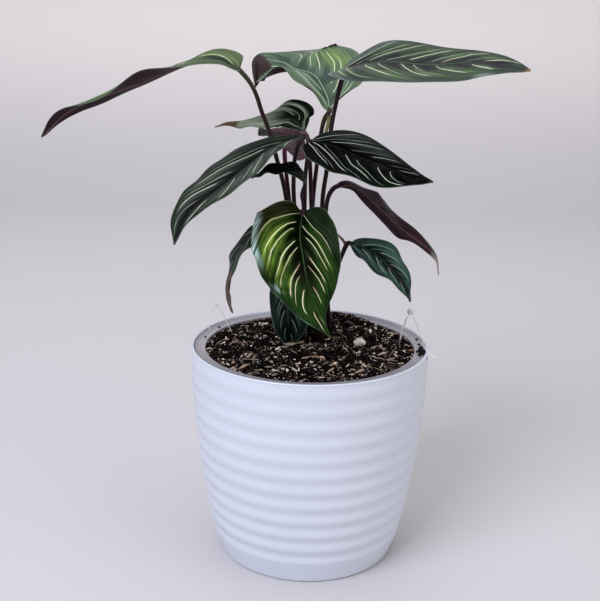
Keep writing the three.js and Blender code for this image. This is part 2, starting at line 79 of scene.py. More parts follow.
class Wire:
    # A value on its way through a node tree. Sums of wires add the Math nodes for them.
    def __init__(self, tree, socket):
        self.tree = tree
        self.socket = socket

    def calc(self, operation, *values):
        # one Math node on the values, or on this wire alone
        made = addNode(self.tree, "ShaderNodeMath", dict(enumerate(values or [self])), operation=operation)
        return Wire(self.tree, made.outputs[0])

    def __add__(self, other):
        return self.calc("ADD", self, other)

    def __sub__(self, other):
        return self.calc("SUBTRACT", self, other)

    def __rsub__(self, other):
        return self.calc("SUBTRACT", other, self)

    def __mul__(self, other):
        return self.calc("MULTIPLY", self, other)

    def __truediv__(self, other):
        return self.calc("DIVIDE", self, other)

    def __pow__(self, other):
        return self.calc("POWER", self, other)

    def __abs__(self):
        return self.calc("ABSOLUTE")

    __radd__ = __add__
    __rmul__ = __mul__

    def over(self, limit):
        return self.calc("GREATER_THAN", self, limit)

    def ramp(self, low, high, start=0.0, end=1.0):
        # eased from start to end while this wire goes from low to high
        made = addNode(self.tree, "ShaderNodeMapRange", {0: self, 1: low, 2: high, 3: start, 4: end},
                       interpolation_type="SMOOTHSTEP")
        return Wire(self.tree, made.outputs[0])

    def pick(self, low, high):
        # low where this wire is 0 and high where it is 1
        return low if low == high else low + (high - low) * self


def noiseOf(tree, place, scale, detail=2.0, roughness=0.5):
    made = addNode(tree, "ShaderNodeTexNoise",
                   {"Vector": place, "Scale": scale, "Detail": detail, "Roughness": roughness})
    return Wire(tree, made.outputs[0])


def vectorOf(tree, x, y, z):
    return Wire(tree, addNode(tree, "ShaderNodeCombineXYZ", {0: x, 1: y, 2: z}).outputs[0])


def partsOf(tree, vector):
    split = addNode(tree, "ShaderNodeSeparateXYZ", {0: vector})
    return [Wire(tree, socket) for socket in split.outputs]


def blend(tree, share, first, second):
    # the first colour where the share is 0 and the second where it is 1
    made = addNode(tree, "ShaderNodeMix", {0: share, 6: first, 7: second}, data_type="RGBA")
    return Wire(tree, made.outputs[2])


def layered(tree, ground, layers):
    # a ground colour with layers laid over it, each a share and a colour
    for share, colour in layers:
        ground = blend(tree, share, ground, colour)
    return ground


def objectPlace(tree):
    return tree.nodes.new("ShaderNodeTexCoord").outputs["Object"]


def carried(tree, name, output="Fac"):
    # a value that the mesh carries, for a material
    return Wire(tree, addNode(tree, "ShaderNodeAttribute", attribute_name=name).outputs[output])


def pointValue(tree, name, kind="FLOAT"):
    # a value that the mesh carries, for a modifier
    made = addNode(tree, "GeometryNodeInputNamedAttribute", {"Name": name}, data_type=kind)
    return Wire(tree, made.outputs[0])


def movedBy(tree, geometry, way, distance):
    offset = addNode(tree, "ShaderNodeVectorMath", {0: way, "Scale": distance}, operation="SCALE")
    made = addNode(tree, "GeometryNodeSetPosition", {"Geometry": geometry, "Offset": offset.outputs[0]})
    return made.outputs[0]


def newMaterial(name, finish):
    # finish holds the shader's plain numbers
    material = bpy.data.materials.new(name)
    material.use_nodes = True
    tree = material.node_tree
    shader = tree.nodes["Principled BSDF"]
    for key, value in finish.items():
        plug(tree, shader.inputs[key], value)
    return material, tree, shader


def roughen(tree, shader, strength, depth, height):
    # small bumps in the shading alone; depth is in mm
    bump = addNode(tree, "ShaderNodeBump", {"Strength": strength, "Distance": depth * mm, "Height": height})
    plug(tree, shader.inputs["Normal"], bump.outputs[0])


# Objects and meshes
def linked(name, data):
    made = bpy.data.objects.new(name, data)
    bpy.context.scene.collection.objects.link(made)
    return made


def newPiece(name, points, faces):
    mesh = bpy.data.meshes.new(name)
    mesh.from_pydata((np.asarray(points, float) * mm).tolist(), [], faces)
    mesh.shade_smooth()
    return linked(name, mesh)


def keepOnPoints(mesh, name, values):
    values = np.asarray(values, np.float32)
    flat = values.ndim == 1
    layer = mesh.attributes.new(name, "FLOAT" if flat else "FLOAT_VECTOR", "POINT")
    layer.data.foreach_set("value" if flat else "vector", values.ravel())


def newTree(name, inputs):
    # a modifier's node tree with the named inputs; returns it with a wire from each and its last node
    tree = bpy.data.node_groups.new(name, "GeometryNodeTree")
    tree.interface.new_socket("Geometry", in_out="OUTPUT", socket_type="NodeSocketGeometry")
    tree.interface.new_socket("Geometry", in_out="INPUT", socket_type="NodeSocketGeometry")
    for label, kind in inputs.items():
        tree.interface.new_socket(label, in_out="INPUT", socket_type="NodeSocket" + kind)
    start = tree.nodes.new("NodeGroupInput")
    wires = {socket.name: Wire(tree, socket) for socket in start.outputs if socket.name}
    return tree, wires, tree.nodes.new("NodeGroupOutput")


def endTree(tree, geometry, material, last, second=None, where=None):
    # every tree ends so: its instances are made real, then the faces get their material
    made = addNode(tree, "GeometryNodeRealizeInstances", {0: geometry})
    made = addNode(tree, "GeometryNodeSetMaterial", {"Geometry": made.outputs[0], "Material": material})
    if second:
        made = addNode(tree, "GeometryNodeSetMaterial",
                       {"Geometry": made.outputs[0], "Selection": where, "Material": second})
    tree.links.new(made.outputs[0], last.inputs[0])


def growWith(piece, tree, values):
    # runs the tree on the piece, with its inputs set by identifier, and keeps the result as a plain mesh
    modifier = piece.modifiers.new(tree.name, "NODES")
    modifier.node_group = tree
    for item in tree.interface.items_tree:
        if item.in_out == "INPUT" and item.name in values:
            modifier[item.identifier] = values[item.name]
    graph = bpy.context.evaluated_depsgraph_get()
    made = bpy.data.meshes.new_from_object(piece.evaluated_get(graph), preserve_all_data_layers=True,
                                           depsgraph=graph)
    piece.modifiers.clear()
    host = piece.data
    piece.data = made
    bpy.data.meshes.remove(host)
    made.name = piece.name


def settle(piece, slot, *nodes):
    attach(piece, "root")
    if nodes:
        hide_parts(*nodes)


def courseThrough(points, steps, fineSteps=40):
    # a smooth curve through the points, at equal steps of its length
    points = np.asarray(points, float)
    spans = len(points) - 1
    padded = np.vstack([2 * points[0] - points[1], points, 2 * points[-1] - points[-2]])
    place = np.linspace(0, spans, spans * fineSteps + 1)
    low = np.minimum(place.astype(int), spans - 1)
    part = (place - low)[:, None]
    before, here, ahead, after = (padded[low + step] for step in range(4))
    fine = 0.5 * (2 * here + (ahead - before) * part + (2 * before - 5 * here + 4 * ahead - after) * part ** 2
                  + (3 * here - before - 3 * ahead + after) * part ** 3)
    run = np.concatenate([[0], np.cumsum(np.linalg.norm(np.diff(fine, axis=0), axis=1))])
    marks = np.linspace(0, run[-1], steps + 1)
    return np.stack([np.interp(marks, run, fine[:, axis]) for axis in range(3)], 1), run[-1]


def softened(corners, radius, steps=4, fit=2.2):
    # the outline with each inner corner turned into a short curve
    outline = [corners[0]]
    for before, corner, after in zip(corners, corners[1:], corners[2:]):
        before, corner, after = map(np.array, (before, corner, after))
        reach = [min(radius, np.linalg.norm(other - corner) / fit) for other in (before, after)]
        start = corner + (before - corner) / np.linalg.norm(before - corner) * reach[0]
        end = corner + (after - corner) / np.linalg.norm(after - corner) * reach[1]
        for share in np.linspace(0, 1, steps + 1):
            outline.append((1 - share) ** 2 * start + 2 * share * (1 - share) * corner + share ** 2 * end)
    outline.append(corners[-1])
    return [tuple(point) for point in outline]


def turned(name, outline, segments):
    # turns an outline of radius and height round the upright axis; both ends lie on the axis
    angles = fullTurn * np.arange(segments) / segments
    rings = [[(r * math.cos(a), r * math.sin(a), h) for a in angles] for r, h in outline[1:-1]]
    points = [point for ring in rings for point in ring]
    points += [(0, 0, outline[0][1]), (0, 0, outline[-1][1])]
    faces = []
    for ring in range(len(rings) - 1):
        for turn in range(segments):
            after = (turn + 1) % segments
            a, b = ring * segments + turn, ring * segments + after
            faces.append((a, b, b + segments, a + segments))
    top = (len(rings) - 1) * segments
    for turn in range(segments):
        after = (turn + 1) % segments
        faces.append((len(points) - 2, after, turn))
        faces.append((top + turn, top + after, len(points) - 1))
    return newPiece(name, points, faces)


# Decorative pot
pot = {
    "height": 137, "rim": 75, "foot": 57, "wall": 2.2, "floor": 3, "belly": 0.82, "footRounding": 2,
    "ribPitch": 10.4, "ribCount": 11, "firstGroove": 20.3, "depthLow": 0.9, "depthHigh": 0.4,
    "segments": 160, "step": 0.8, "footSteps": 6, "lipSteps": 11, "insideSteps": 24, "insideTop": 4,
    "insideFoot": 2, "floorCorner": 1,
    "colour": "c6ccd9", "light": "ced4e0", "cloudScale": 18, "glossScale": 60, "gloss": (0.3, 0.4),
    "grainScale": 900, "grainStrength": 0.2, "grainDepth": 0.03,
    "finish": {"IOR": 1.47, "Coat Weight": 0.15, "Coat Roughness": 0.2},
}


def sideRadius(height):
    rise = np.sin(math.pi / 2 * (height / pot["height"]) ** pot["belly"])
    return pot["foot"] + (pot["rim"] - pot["foot"]) * rise


def ribTree():
    # presses the outer side inwards in rounded grooves that grow shallower towards the rim
    tree, wire, last = newTree("pot ribs", {
        "First Groove": "Float", "Pitch": "Float", "Count": "Float", "Depth Low": "Float",
        "Depth High": "Float", "Material": "Material"})
    x, y, z = partsOf(tree, tree.nodes.new("GeometryNodeInputPosition").outputs[0])
    along = (z / mm - wire["First Groove"]) / wire["Pitch"]
    depth = wire["Depth Low"] + (wire["Depth High"] - wire["Depth Low"]) * along / wire["Count"]
    wave = (along * fullTurn).calc("COSINE") + 1
    inward = depth * wave * along.over(-0.5) * pointValue(tree, "side") * (mm / 2)
    outwards = addNode(tree, "ShaderNodeVectorMath", {0: vectorOf(tree, x, y, 0.0)}, operation="NORMALIZE")
    moved = movedBy(tree, wire["Geometry"], outwards.outputs[0], inward * -1)
    endTree(tree, moved, wire["Material"], last)
    return tree


def potPlastic():
    material, tree, shader = newMaterial("white plastic", pot["finish"])
    place = objectPlace(tree)
    cloud = noiseOf(tree, place, pot["cloudScale"], 3)
    plug(tree, shader.inputs["Base Color"], blend(tree, cloud, pot["colour"], pot["light"]))
    dull = noiseOf(tree, place, pot["glossScale"], 4)
    plug(tree, shader.inputs["Roughness"], dull.ramp(*noiseSpan, *pot["gloss"]))
    roughen(tree, shader, pot["grainStrength"], pot["grainDepth"], noiseOf(tree, place, pot["grainScale"], 2))
    return material


def potOutline():
    # from the middle of the underside up the outer side, over the lip, and down inside to the floor
    foot, rounding, height = pot["foot"], pot["footRounding"], pot["height"]
    outline = [(0, 0), (foot - rounding, 0)]
    for angle in np.linspace(0, math.pi / 2, pot["footSteps"])[1:]:
        outline.append((foot - rounding * (1 - math.sin(angle)), rounding * (1 - math.cos(angle))))
    lip = pot["wall"] / 2
    ribsFrom = pot["firstGroove"] - pot["ribPitch"] / 2
    widening = sideRadius(ribsFrom) - foot
    for level in np.arange(rounding + pot["step"], height - lip, pot["step"]):
        plain = foot + widening * ((level - rounding) / (ribsFrom - rounding))
        outline.append((sideRadius(level) if level > ribsFrom else plain, level))
    outer = len(outline)
    for angle in np.linspace(0, math.pi, pot["lipSteps"]):
        outline.append((pot["rim"] - lip + lip * math.cos(angle), height - lip + lip * math.sin(angle)))
    top, bottom = height - pot["insideTop"], pot["floor"] + pot["insideFoot"]
    for level in np.linspace(top, bottom, pot["insideSteps"]):
        outline.append((sideRadius(level) - pot["wall"], level))
    corner = foot - pot["wall"] - pot["floorCorner"]
    return outline + [(corner, pot["floor"]), (0, pot["floor"])], outer


def makePot():
    outline, outer = potOutline()
    piece = turned("potOutside", outline, pot["segments"])
    rings = np.repeat(np.arange(1, len(outline) - 1) <= outer, pot["segments"])
    keepOnPoints(piece.data, "side", np.concatenate([rings, [0, 0]]))
    growWith(piece, ribTree(), {
        "First Groove": pot["firstGroove"], "Pitch": pot["ribPitch"], "Count": float(pot["ribCount"]),
        "Depth Low": pot["depthLow"], "Depth High": pot["depthHigh"], "Material": potPlastic()})
    settle(piece, "white_plastic", "outer_pot")


makePot()
print("decorative pot made")

# Growing pot, seen as a ledge with two beads inside the decorative pot
# front is a painted shade on the near side of the ledge; back is the plastic's own colour
liner = {
    "seat": 3.3, "rimHeight": 135.8, "rim": 72.4, "ledge": 66, "line": 69.3, "lineHeight": 0.4, "foot": 49,
    "wall": 0.9, "bead": 0.9, "segments": 160, "softness": 0.35, "back": "b2afb7", "front": "88878e",
    "frontTo": (-50, 10), "hazeScale": 45, "hazeShift": 30, "gloss": (0.2, 0.38), "lineHalf": 0.5,
    "dustScale": 420, "dust": "5a4c48", "dustStrength": 0.35, "dustDullness": 0.3, "dustFade": (0.6, 0.8),
    "finish": {"IOR": 1.49, "Transmission Weight": 0.25, "Coat Weight": 0.3, "Coat Roughness": 0.15},
}


def linerInside(height):
    share = (height - liner["seat"]) / (liner["rimHeight"] - liner["seat"])
    return liner["foot"] - liner["wall"] + (liner["ledge"] - liner["foot"] + liner["wall"]) * share


def linerPlastic():
    material, tree, shader = newMaterial("grey plastic", liner["finish"])
    place = objectPlace(tree)
    haze = noiseOf(tree, place, liner["hazeScale"], 4)
    dust = noiseOf(tree, place, liner["dustScale"], 3).ramp(*liner["dustFade"])
    y = partsOf(tree, place)[1]
    # painted shade: the ledge is darker towards the front, where it lies under the pot's rim, and has the
    # plastic's own colour at the back
    outOfShade = (y / mm + (haze - 0.5) * liner["hazeShift"]).ramp(*liner["frontTo"])
    plug(tree, shader.inputs["Base Color"], layered(tree, liner["front"], [
        (outOfShade, liner["back"]), (dust * liner["dustStrength"], liner["dust"])]))
    dull = haze.ramp(*noiseSpan, *liner["gloss"]) + dust * liner["dustDullness"]
    plug(tree, shader.inputs["Roughness"], dull)
    return material


def makeLiner():
    high, bead, wall = liner["rimHeight"], liner["bead"], liner["wall"]
    under = high - bead - wall
    corners = [
        (0, liner["seat"]), (liner["foot"], liner["seat"]), (linerInside(under) + wall, under),
        (liner["rim"], under), (liner["rim"], high), (liner["rim"] - bead, high),
        (liner["rim"] - 2 * bead, high - bead), (liner["line"] + liner["lineHalf"], high - bead),
        (liner["line"], high - bead + liner["lineHeight"]), (liner["line"] - liner["lineHalf"], high - bead),
        (liner["ledge"] + 2 * bead, high - bead),
        (liner["ledge"] + bead, high - bead / 2), (liner["ledge"], high - bead / 2),
        (linerInside(under), under), (linerInside(liner["seat"] + wall), liner["seat"] + wall),
        (0, liner["seat"] + wall)]
    piece = turned("linerPot", softened(corners, liner["softness"]), liner["segments"])
    piece.data.materials.append(linerPlastic())
    settle(piece, "grey_plastic", "growing_pot")


makeLiner()
print("growing pot made")

# Soil: coir crumbs with white perlite, bark chips and fibres strewn over it
soil = {
    "height": 134, "relief": 0.8, "grit": 0.5, "gritSeed": 4, "rings": 64, "segments": 128, "seat": 4.5,
    "gap": 0.3, "waves": (0.31, 0.27, 0.13, 0.19), "rimSharpness": 6, "colour": "010101", "light": "0e0909",
    "grainScale": 700, "grainFade": (0.35, 0.75), "grainStrength": 0.9, "grainDepth": 0.8,
    "heapAt": (24, 64), "heapSpread": (22, 14), "heapTall": 4.5,
    "finish": {"Roughness": 0.95, "Specular IOR Level": 0.05},
}
strewn = {
    "soilCrumbs": {
        "shape": "lump", "number": 7600, "sizes": (0.7, 2.0), "stretch": (1, 0.75, 0.65), "roughening": 0.6,
        "colours": ("000000", "2e1d16"), "darkShare": 0.5, "seed": 3},
    "soilGrains": {
        "shape": "lump", "number": 1500, "sizes": (0.4, 1.3), "stretch": (1, 0.8, 0.7), "roughening": 0.3,
        "colours": ("4a3c36", "f0e8e0"), "darkShare": 0.2, "seed": 17},
    "soilBark": {
        "shape": "chip", "number": 720, "sizes": (1.3, 4.8), "stretch": (1, 0.28, 0.14), "roughening": 0.25,
        "colours": ("080403", "e4ccb8"), "darkShare": 0.5, "seed": 5},
    "soilPerlite": {
        "shape": "stone", "number": 110, "sizes": (0.8, 2.0), "stretch": (1, 0.7, 0.6), "roughening": 0.7,
        "colours": ("b0a8a0", "f4f0ee"), "darkShare": 0.0, "seed": 8},
    "soilFibres": {
        "shape": "fibre", "number": 620, "sizes": (2.2, 7.0), "stretch": (1, 1, 1), "roughening": 0.0,
        "colours": ("1a100e", "d0c0b4"), "darkShare": 0.4, "seed": 13},
}
strewing = {
    "patchScale": 95.0, "patchEdges": (0.38, 0.6), "patchShares": (0.3, 1.7), "lean": 0.5,
    "fibreBow": ((-0.5, 0, 0.02), (0.05, 0.35, 0.2), (0.5, -0.05, 0.03)), "fibreRadius": 0.022,
    "roughScale": 620.0, "grainScale": 900, "grainShift": 0.3, "grainStrength": 0.7, "grainDepth": 0.2,
    "finish": {"Roughness": 0.9, "Specular IOR Level": 0.08},
}
# Single pieces that lie on top, each with its place, length, thickness, turn in degrees and tone
placedBits = {
    "heights": {"chips": 134.7, "onLedge": 135.6, "lumps": 136.4}, "roundness": 0.8,
    "lumpiness": ((0.16, 9, 8), (0.12, 17, 13)), "fleckFade": (0.5, 0.68, 0.0, 0.6),
    "fleck": "1a100e", "grainScale": 1300, "grainStrength": 0.8, "grainDepth": 0.3,
    "finish": {"Roughness": 0.85, "Specular IOR Level": 0.15},
    "tones": {
        "white": "ece4dc", "pale": "c6b6a8", "tan": "b49c86", "rust": "a07c60", "pink": "9c7e76",
        "grey": "8a8078", "olive": "726c54", "dark": "222226", "lump": "efe6de", "crumb": "120b0c"},
    "chips": [
        (-37, -21, 10, 1.6, 75, "tan"), (-39, -40, 9.5, 2, 60, "tan"), (-24, -40, 5, 1.1, 10, "grey"),
        (-30, -46, 6.5, 0.9, -5, "olive"), (-2, -22, 7, 1.1, 30, "tan"), (5, -21, 9.5, 1.2, -25, "rust"),
        (-20, -6, 7, 1.4, 65, "white"), (-6, 7, 7, 1.2, 50, "pale"), (-13, 4, 4.5, 2.4, -40, "tan"),
        (1, -4, 6.5, 1.7, 45, "grey"), (0, 14, 10, 0.7, -90, "grey"), (-13, -45, 5, 1.5, -85, "white"),
        (-37, -3, 1.5, 1.5, 5, "white"), (-39, 26, 1, 1.2, 5, "pale"), (-14, -21, 1.5, 1.4, -30, "pale"),
        (-9, -26, 1, 1, 5, "white"), (-23, -31, 4, 1.6, -60, "grey"), (-23, -16, 3, 1.6, 45, "grey"),
        (-46, -34, 5, 1.8, 70, "tan"), (-45, 25, 3.5, 2, 45, "olive"), (-34, 42, 3, 1.8, 40, "grey"),
        (-20, -53, 4.5, 1.6, 45, "grey"), (-4, -52, 1.5, 1, -45, "pale"), (3, -36, 1.5, 1.2, -25, "pale"),
        (6, -39, 3, 1.3, 50, "tan"), (1, -30, 2.5, 1.6, -35, "pale"), (7, -56, 4, 0.9, 10, "pale"),
        (-41, 4, 9.5, 1, -65, "pink"), (-47, 5, 5, 1.4, 45, "pink"), (-31, -15, 10, 0.8, 70, "dark"),
        (31, -13, 10, 1, 75, "grey"), (29, 41, 7, 1, 35, "pale"), (18, 41, 7, 1.2, -90, "pale"),
        (40, 33, 9, 1.7, 90, "white"), (44, 40, 6, 1.5, -90, "pale"), (55, 29, 6, 1.4, -15, "tan"),
        (41, 0, 6.5, 1.5, 40, "tan"), (46, -2, 5, 1.2, -20, "tan"), (45, -12, 8.5, 1.6, 45, "pale"),
        (40, -19, 6.5, 1.4, -60, "tan"), (50, -22, 8, 1.7, 50, "pink"), (53, -14, 6.5, 1.6, -80, "pale"),
        (59, -6, 1.5, 1.4, 5, "white"), (40, -12, 1.5, 1.3, 5, "white"), (31, 24, 1, 1, 5, "white"),
        (10, 2, 6.5, 1.1, -85, "pale"), (31, -29, 3.5, 1.5, -80, "pale"), (15, -31, 10, 1.3, -80, "rust"),
        (18, -39, 2.5, 1, -10, "rust"), (13, -43, 7, 1.5, 60, "tan"), (30, -44, 8, 1.6, 45, "tan"),
        (36, -36, 6, 1.3, -55, "olive"), (64, -4, 4.5, 1.2, 25, "rust"), (28, -30, 5.5, 1.6, 65, "olive"),
        (8, -23, 3.5, 1.1, -20, "rust"), (20, -51, 1.5, 1.1, 35, "pale"), (14, -47, 1, 1.2, 5, "tan"),
        (-49, 4, 10, 0.7, 70, "grey"), (-58, 3, 9, 0.9, 70, "grey"), (-24, 5, 8, 0.9, -60, "grey")],
    "lumps": [
        (31.8, 4.5, 6.6, 6.2, 20, "lump"), (29.4, 4.2, 3.6, 3, 10, "lump"),
        (33.9, 3.4, 3.8, 3.4, 40, "lump"), (32.2, 2.2, 3.2, 2.8, 0, "pale"),
        (30.4, 2.4, 2.8, 2.4, 60, "lump"), (33.4, 5.8, 3.4, 3.2, 0, "lump")],
    "onLedge": [
        (66.5, 34, 2.2, 1.5, 40, "crumb"), (69, 15.5, 1.8, 1.4, 10, "crumb"), (70, -3, 4.6, 3, 80, "crumb"),
        (70.5, -9.5, 6, 3.8, 70, "crumb"), (71, -14, 5.4, 3.4, 100, "crumb"),
        (71, -19.5, 4, 2.6, 100, "crumb"), (69.5, -7, 4, 2.8, 20, "crumb"),
        (69.5, -12, 3.4, 2.6, 0, "crumb"), (68, -15.5, 2.6, 1.8, 0, "crumb"),
        (69.5, 5, 2.2, 1.6, 60, "crumb"), (67, -9, 1.6, 1.2, 0, "crumb"),
        (-67.5, 12, 1.6, 1.1, 30, "crumb"), (-60.5, 33, 1.8, 1.2, -30, "crumb"),
        (-4, 67, 2, 1.6, 0, "crumb"), (34, 58.5, 1.8, 1.3, 20, "crumb")],
}


def moundAt(x, y):
    # gentle mounds that level out at the rim, and one low heap at the back
    edge = 1 - (np.hypot(x, y) / liner["ledge"]) ** soil["rimSharpness"]
    first, second, third, fourth = soil["waves"]
    coarse = np.sin(x * first + 1) * np.cos(y * second)
    heapX, heapY = soil["heapAt"]
    wide, deep = soil["heapSpread"]
    heap = soil["heapTall"] * np.exp(-((x - heapX) / wide) ** 2 - ((y - heapY) / deep) ** 2)
    return soil["relief"] * edge * (coarse + 0.5 * np.sin(x * third - y * fourth)) + heap


def soilMaterial():
    material, tree, shader = newMaterial("soil", soil["finish"])
    grain = noiseOf(tree, objectPlace(tree), soil["grainScale"], 5, 0.7)
    plug(tree, shader.inputs["Base Color"],
         blend(tree, grain.ramp(*soil["grainFade"]), soil["colour"], soil["light"]))
    roughen(tree, shader, soil["grainStrength"], soil["grainDepth"], grain)
    return material


def crumbMaterial(name, colours, darkShare):
    # each crumb has its own tone between the two colours, and a share of them is dark
    material, tree, shader = newMaterial(name, strewing["finish"])
    grain = noiseOf(tree, objectPlace(tree), strewing["grainScale"], 4, 0.6)
    share = carried(tree, "tone").ramp(darkShare, 1.0) + (grain - 0.5) * strewing["grainShift"]
    plug(tree, shader.inputs["Base Color"], blend(tree, share, *colours))
    roughen(tree, shader, strewing["grainStrength"], strewing["grainDepth"], grain)
    return material


def crumbForm(tree, shape):
    # one crumb of the given shape, one unit long
    if shape == "chip":
        return addNode(tree, "GeometryNodeMeshCube", {"Size": (1, 1, 1)}).outputs[0]
    if shape == "fibre":
        start, middle, end = strewing["fibreBow"]
        bow = addNode(tree, "GeometryNodeCurveQuadraticBezier",
                      {"Resolution": 5, "Start": start, "Middle": middle, "End": end})
        ring = addNode(tree, "GeometryNodeCurvePrimitiveCircle",
                       {"Resolution": 3, "Radius": strewing["fibreRadius"]})
        return addNode(tree, "GeometryNodeCurveToMesh", {
            "Curve": bow.outputs[0], "Profile Curve": ring.outputs[0], "Fill Caps": True}).outputs[0]
    return addNode(tree, "GeometryNodeMeshIcoSphere",
                   {"Radius": 0.5, "Subdivisions": 2 if shape == "stone" else 1}).outputs[0]


def strewTree(shape):
    # strews the shape over a surface in denser and sparser patches; chance turns, sizes and tones each one
    tree, wire, last = newTree("strewn " + shape, {
        "Density": "Float", "Seed": "Int", "Size From": "Float", "Size To": "Float", "Stretch": "Vector",
        "Roughening": "Float", "Material": "Material"})
    place = tree.nodes.new("GeometryNodeInputPosition").outputs[0]
    patches = noiseOf(tree, place, strewing["patchScale"], 2)
    patchy = patches.ramp(*strewing["patchEdges"], *strewing["patchShares"])
    spots = addNode(tree, "GeometryNodeDistributePointsOnFaces",
                    {"Mesh": wire["Geometry"], "Density": wire["Density"] * patchy, "Seed": wire["Seed"]})
    lean = strewing["lean"] if shape in ("chip", "fibre") else math.pi
    turn = addNode(tree, "FunctionNodeRandomValue", {
        0: (-lean, -lean, -math.pi), 1: (lean, lean, math.pi), "Seed": wire["Seed"] + 1},
        data_type="FLOAT_VECTOR")
    size = addNode(tree, "FunctionNodeRandomValue", {
        2: wire["Size From"], 3: wire["Size To"], "Seed": wire["Seed"] + 2}, data_type="FLOAT")
    sizes = addNode(tree, "ShaderNodeVectorMath",
                    {0: wire["Stretch"], "Scale": Wire(tree, size.outputs[1])}, operation="SCALE")
    put = addNode(tree, "GeometryNodeInstanceOnPoints", {
        "Points": spots.outputs[0], "Instance": crumbForm(tree, shape), "Rotation": turn.outputs[0],
        "Scale": sizes.outputs[0]})
    tone = addNode(tree, "FunctionNodeRandomValue", {"Seed": wire["Seed"] + 3}, data_type="FLOAT")
    toned = addNode(tree, "GeometryNodeStoreNamedAttribute", {
        "Geometry": put.outputs[0], "Name": "tone", "Value": tone.outputs[1]},
        data_type="FLOAT", domain="INSTANCE")
    real = addNode(tree, "GeometryNodeRealizeInstances", {0: toned.outputs[0]})
    rough = addNode(tree, "ShaderNodeTexNoise",
                    {"Vector": place, "Scale": strewing["roughScale"], "Detail": 1.0})
    shift = addNode(tree, "ShaderNodeVectorMath", {0: rough.outputs[1], 1: (0.5, 0.5, 0.5)},
                    operation="SUBTRACT")
    moved = movedBy(tree, real.outputs[0], shift.outputs[0], wire["Roughening"] * wire["Size To"])
    endTree(tree, moved, wire["Material"], last)
    return tree


def ringOf(radius, height, count):
    angles = [fullTurn * turn / count for turn in range(count)]
    return [(radius * math.cos(angle), radius * math.sin(angle), height) for angle in angles]


def soilTop():
    # the soil's surface as rings of points, with fine grit on the mounds
    rim = linerInside(soil["height"]) - soil["gap"]
    random = np.random.default_rng(soil["gritSeed"])
    count = soil["segments"]
    points = [(0, 0, soil["height"] + moundAt(0, 0))]
    for ring in range(1, soil["rings"] + 1):
        for x, y, height in ringOf(rim * ring / soil["rings"], soil["height"], count):
            grit = soil["grit"] * random.uniform(-1, 1) if ring < soil["rings"] else 0
            points.append((x, y, height + moundAt(x, y) + grit))
    faces = [(0, 1 + turn, 1 + (turn + 1) % count) for turn in range(count)]
    for ring in range(soil["rings"] - 1):
        for turn in range(count):
            a, b = 1 + ring * count + turn, 1 + ring * count + (turn + 1) % count
            faces.append((a, a + count, b + count, b))
    return points, faces


def makeStrewn(points, faces):
    area = math.pi * (linerInside(soil["height"]) * mm) ** 2
    for name, kind in strewn.items():
        piece = newPiece(name, points, faces)
        growWith(piece, strewTree(kind["shape"]), {
            "Density": kind["number"] / area, "Seed": kind["seed"], "Size From": kind["sizes"][0] * mm,
            "Size To": kind["sizes"][1] * mm, "Stretch": kind["stretch"], "Roughening": kind["roughening"],
            "Material": crumbMaterial(name, kind["colours"], kind["darkShare"])})
        settle(piece, "soil")


def makeSoil():
    points, faces = soilTop()
    makeStrewn(points, faces)
    count, last = soil["segments"], len(points)
    points = points + ringOf(linerInside(soil["seat"]) - soil["gap"], soil["seat"], count)
    points.append((0, 0, soil["seat"]))
    for turn in range(count):
        after = (turn + 1) % count
        faces.append((last - count + turn, last + turn, last + after, last - count + after))
        faces.append((last + turn, len(points) - 1, last + after))
    body = newPiece("soilBody", points, faces)
    body.data.materials.append(soilMaterial())
    settle(body, "soil", "soil")


def bitsMaterial():
    material, tree, shader = newMaterial("soil bits", placedBits["finish"])
    grain = noiseOf(tree, objectPlace(tree), placedBits["grainScale"], 4, 0.7)
    flecks = grain.ramp(*placedBits["fleckFade"])
    plug(tree, shader.inputs["Base Color"],
         blend(tree, flecks, carried(tree, "tint", "Vector"), placedBits["fleck"]))
    roughen(tree, shader, placedBits["grainStrength"], placedBits["grainDepth"], grain)
    return material


def makeBits():
    # lumps and chips that show one by one, each a rounded form with a rough skin
    points, faces, tones = [], [], []
    placed = [(height, bit) for kind, height in placedBits["heights"].items() for bit in placedBits[kind]]
    form = bmesh.new()
    bmesh.ops.create_icosphere(form, subdivisions=3, radius=0.5)
    corners = [np.array(corner.co) for corner in form.verts]
    sides = [[corner.index for corner in face.verts] for face in form.faces]
    form.free()
    coarse, fine = placedBits["lumpiness"]
    for number, (height, (x, y, long, thick, turn, tone)) in enumerate(placed):
        angle = math.radians(turn)
        faces += [tuple(len(points) + corner for corner in side) for side in sides]
        for way in corners:
            rough = (1 + coarse[0] * math.sin(way[0] * coarse[1] + number)
                     * math.cos(way[1] * coarse[2] - long)
                     + fine[0] * math.sin(way[2] * fine[1] + way[0] * fine[2] + number))
            ahead, aside, up = way * rough * np.array((long, thick, thick * placedBits["roundness"]))
            points.append((x + ahead * math.cos(angle) - aside * math.sin(angle),
                           y + ahead * math.sin(angle) + aside * math.cos(angle), height + up))
        tones += [colourOf(placedBits["tones"][tone])[:3]] * len(corners)
    piece = newPiece("soilBits", points, faces)
    keepOnPoints(piece.data, "tint", tones)
    piece.data.materials.append(bitsMaterial())
    settle(piece, "soil")


makeSoil()
makeBits()
print("soil made")


# Leaves, as seen from the front
def halfShape(fold, bend, lobe, ripple=(0.8, 3.0, 0.2)):
    # one half of a blade: its slopes at the midrib and how it curves from there, both from base to tip, how
    # far its base reaches back, and the height, number and start of the waves along its margin
    return {"fold": fold, "bend": bend, "lobe": lobe, "ripple": ripple}


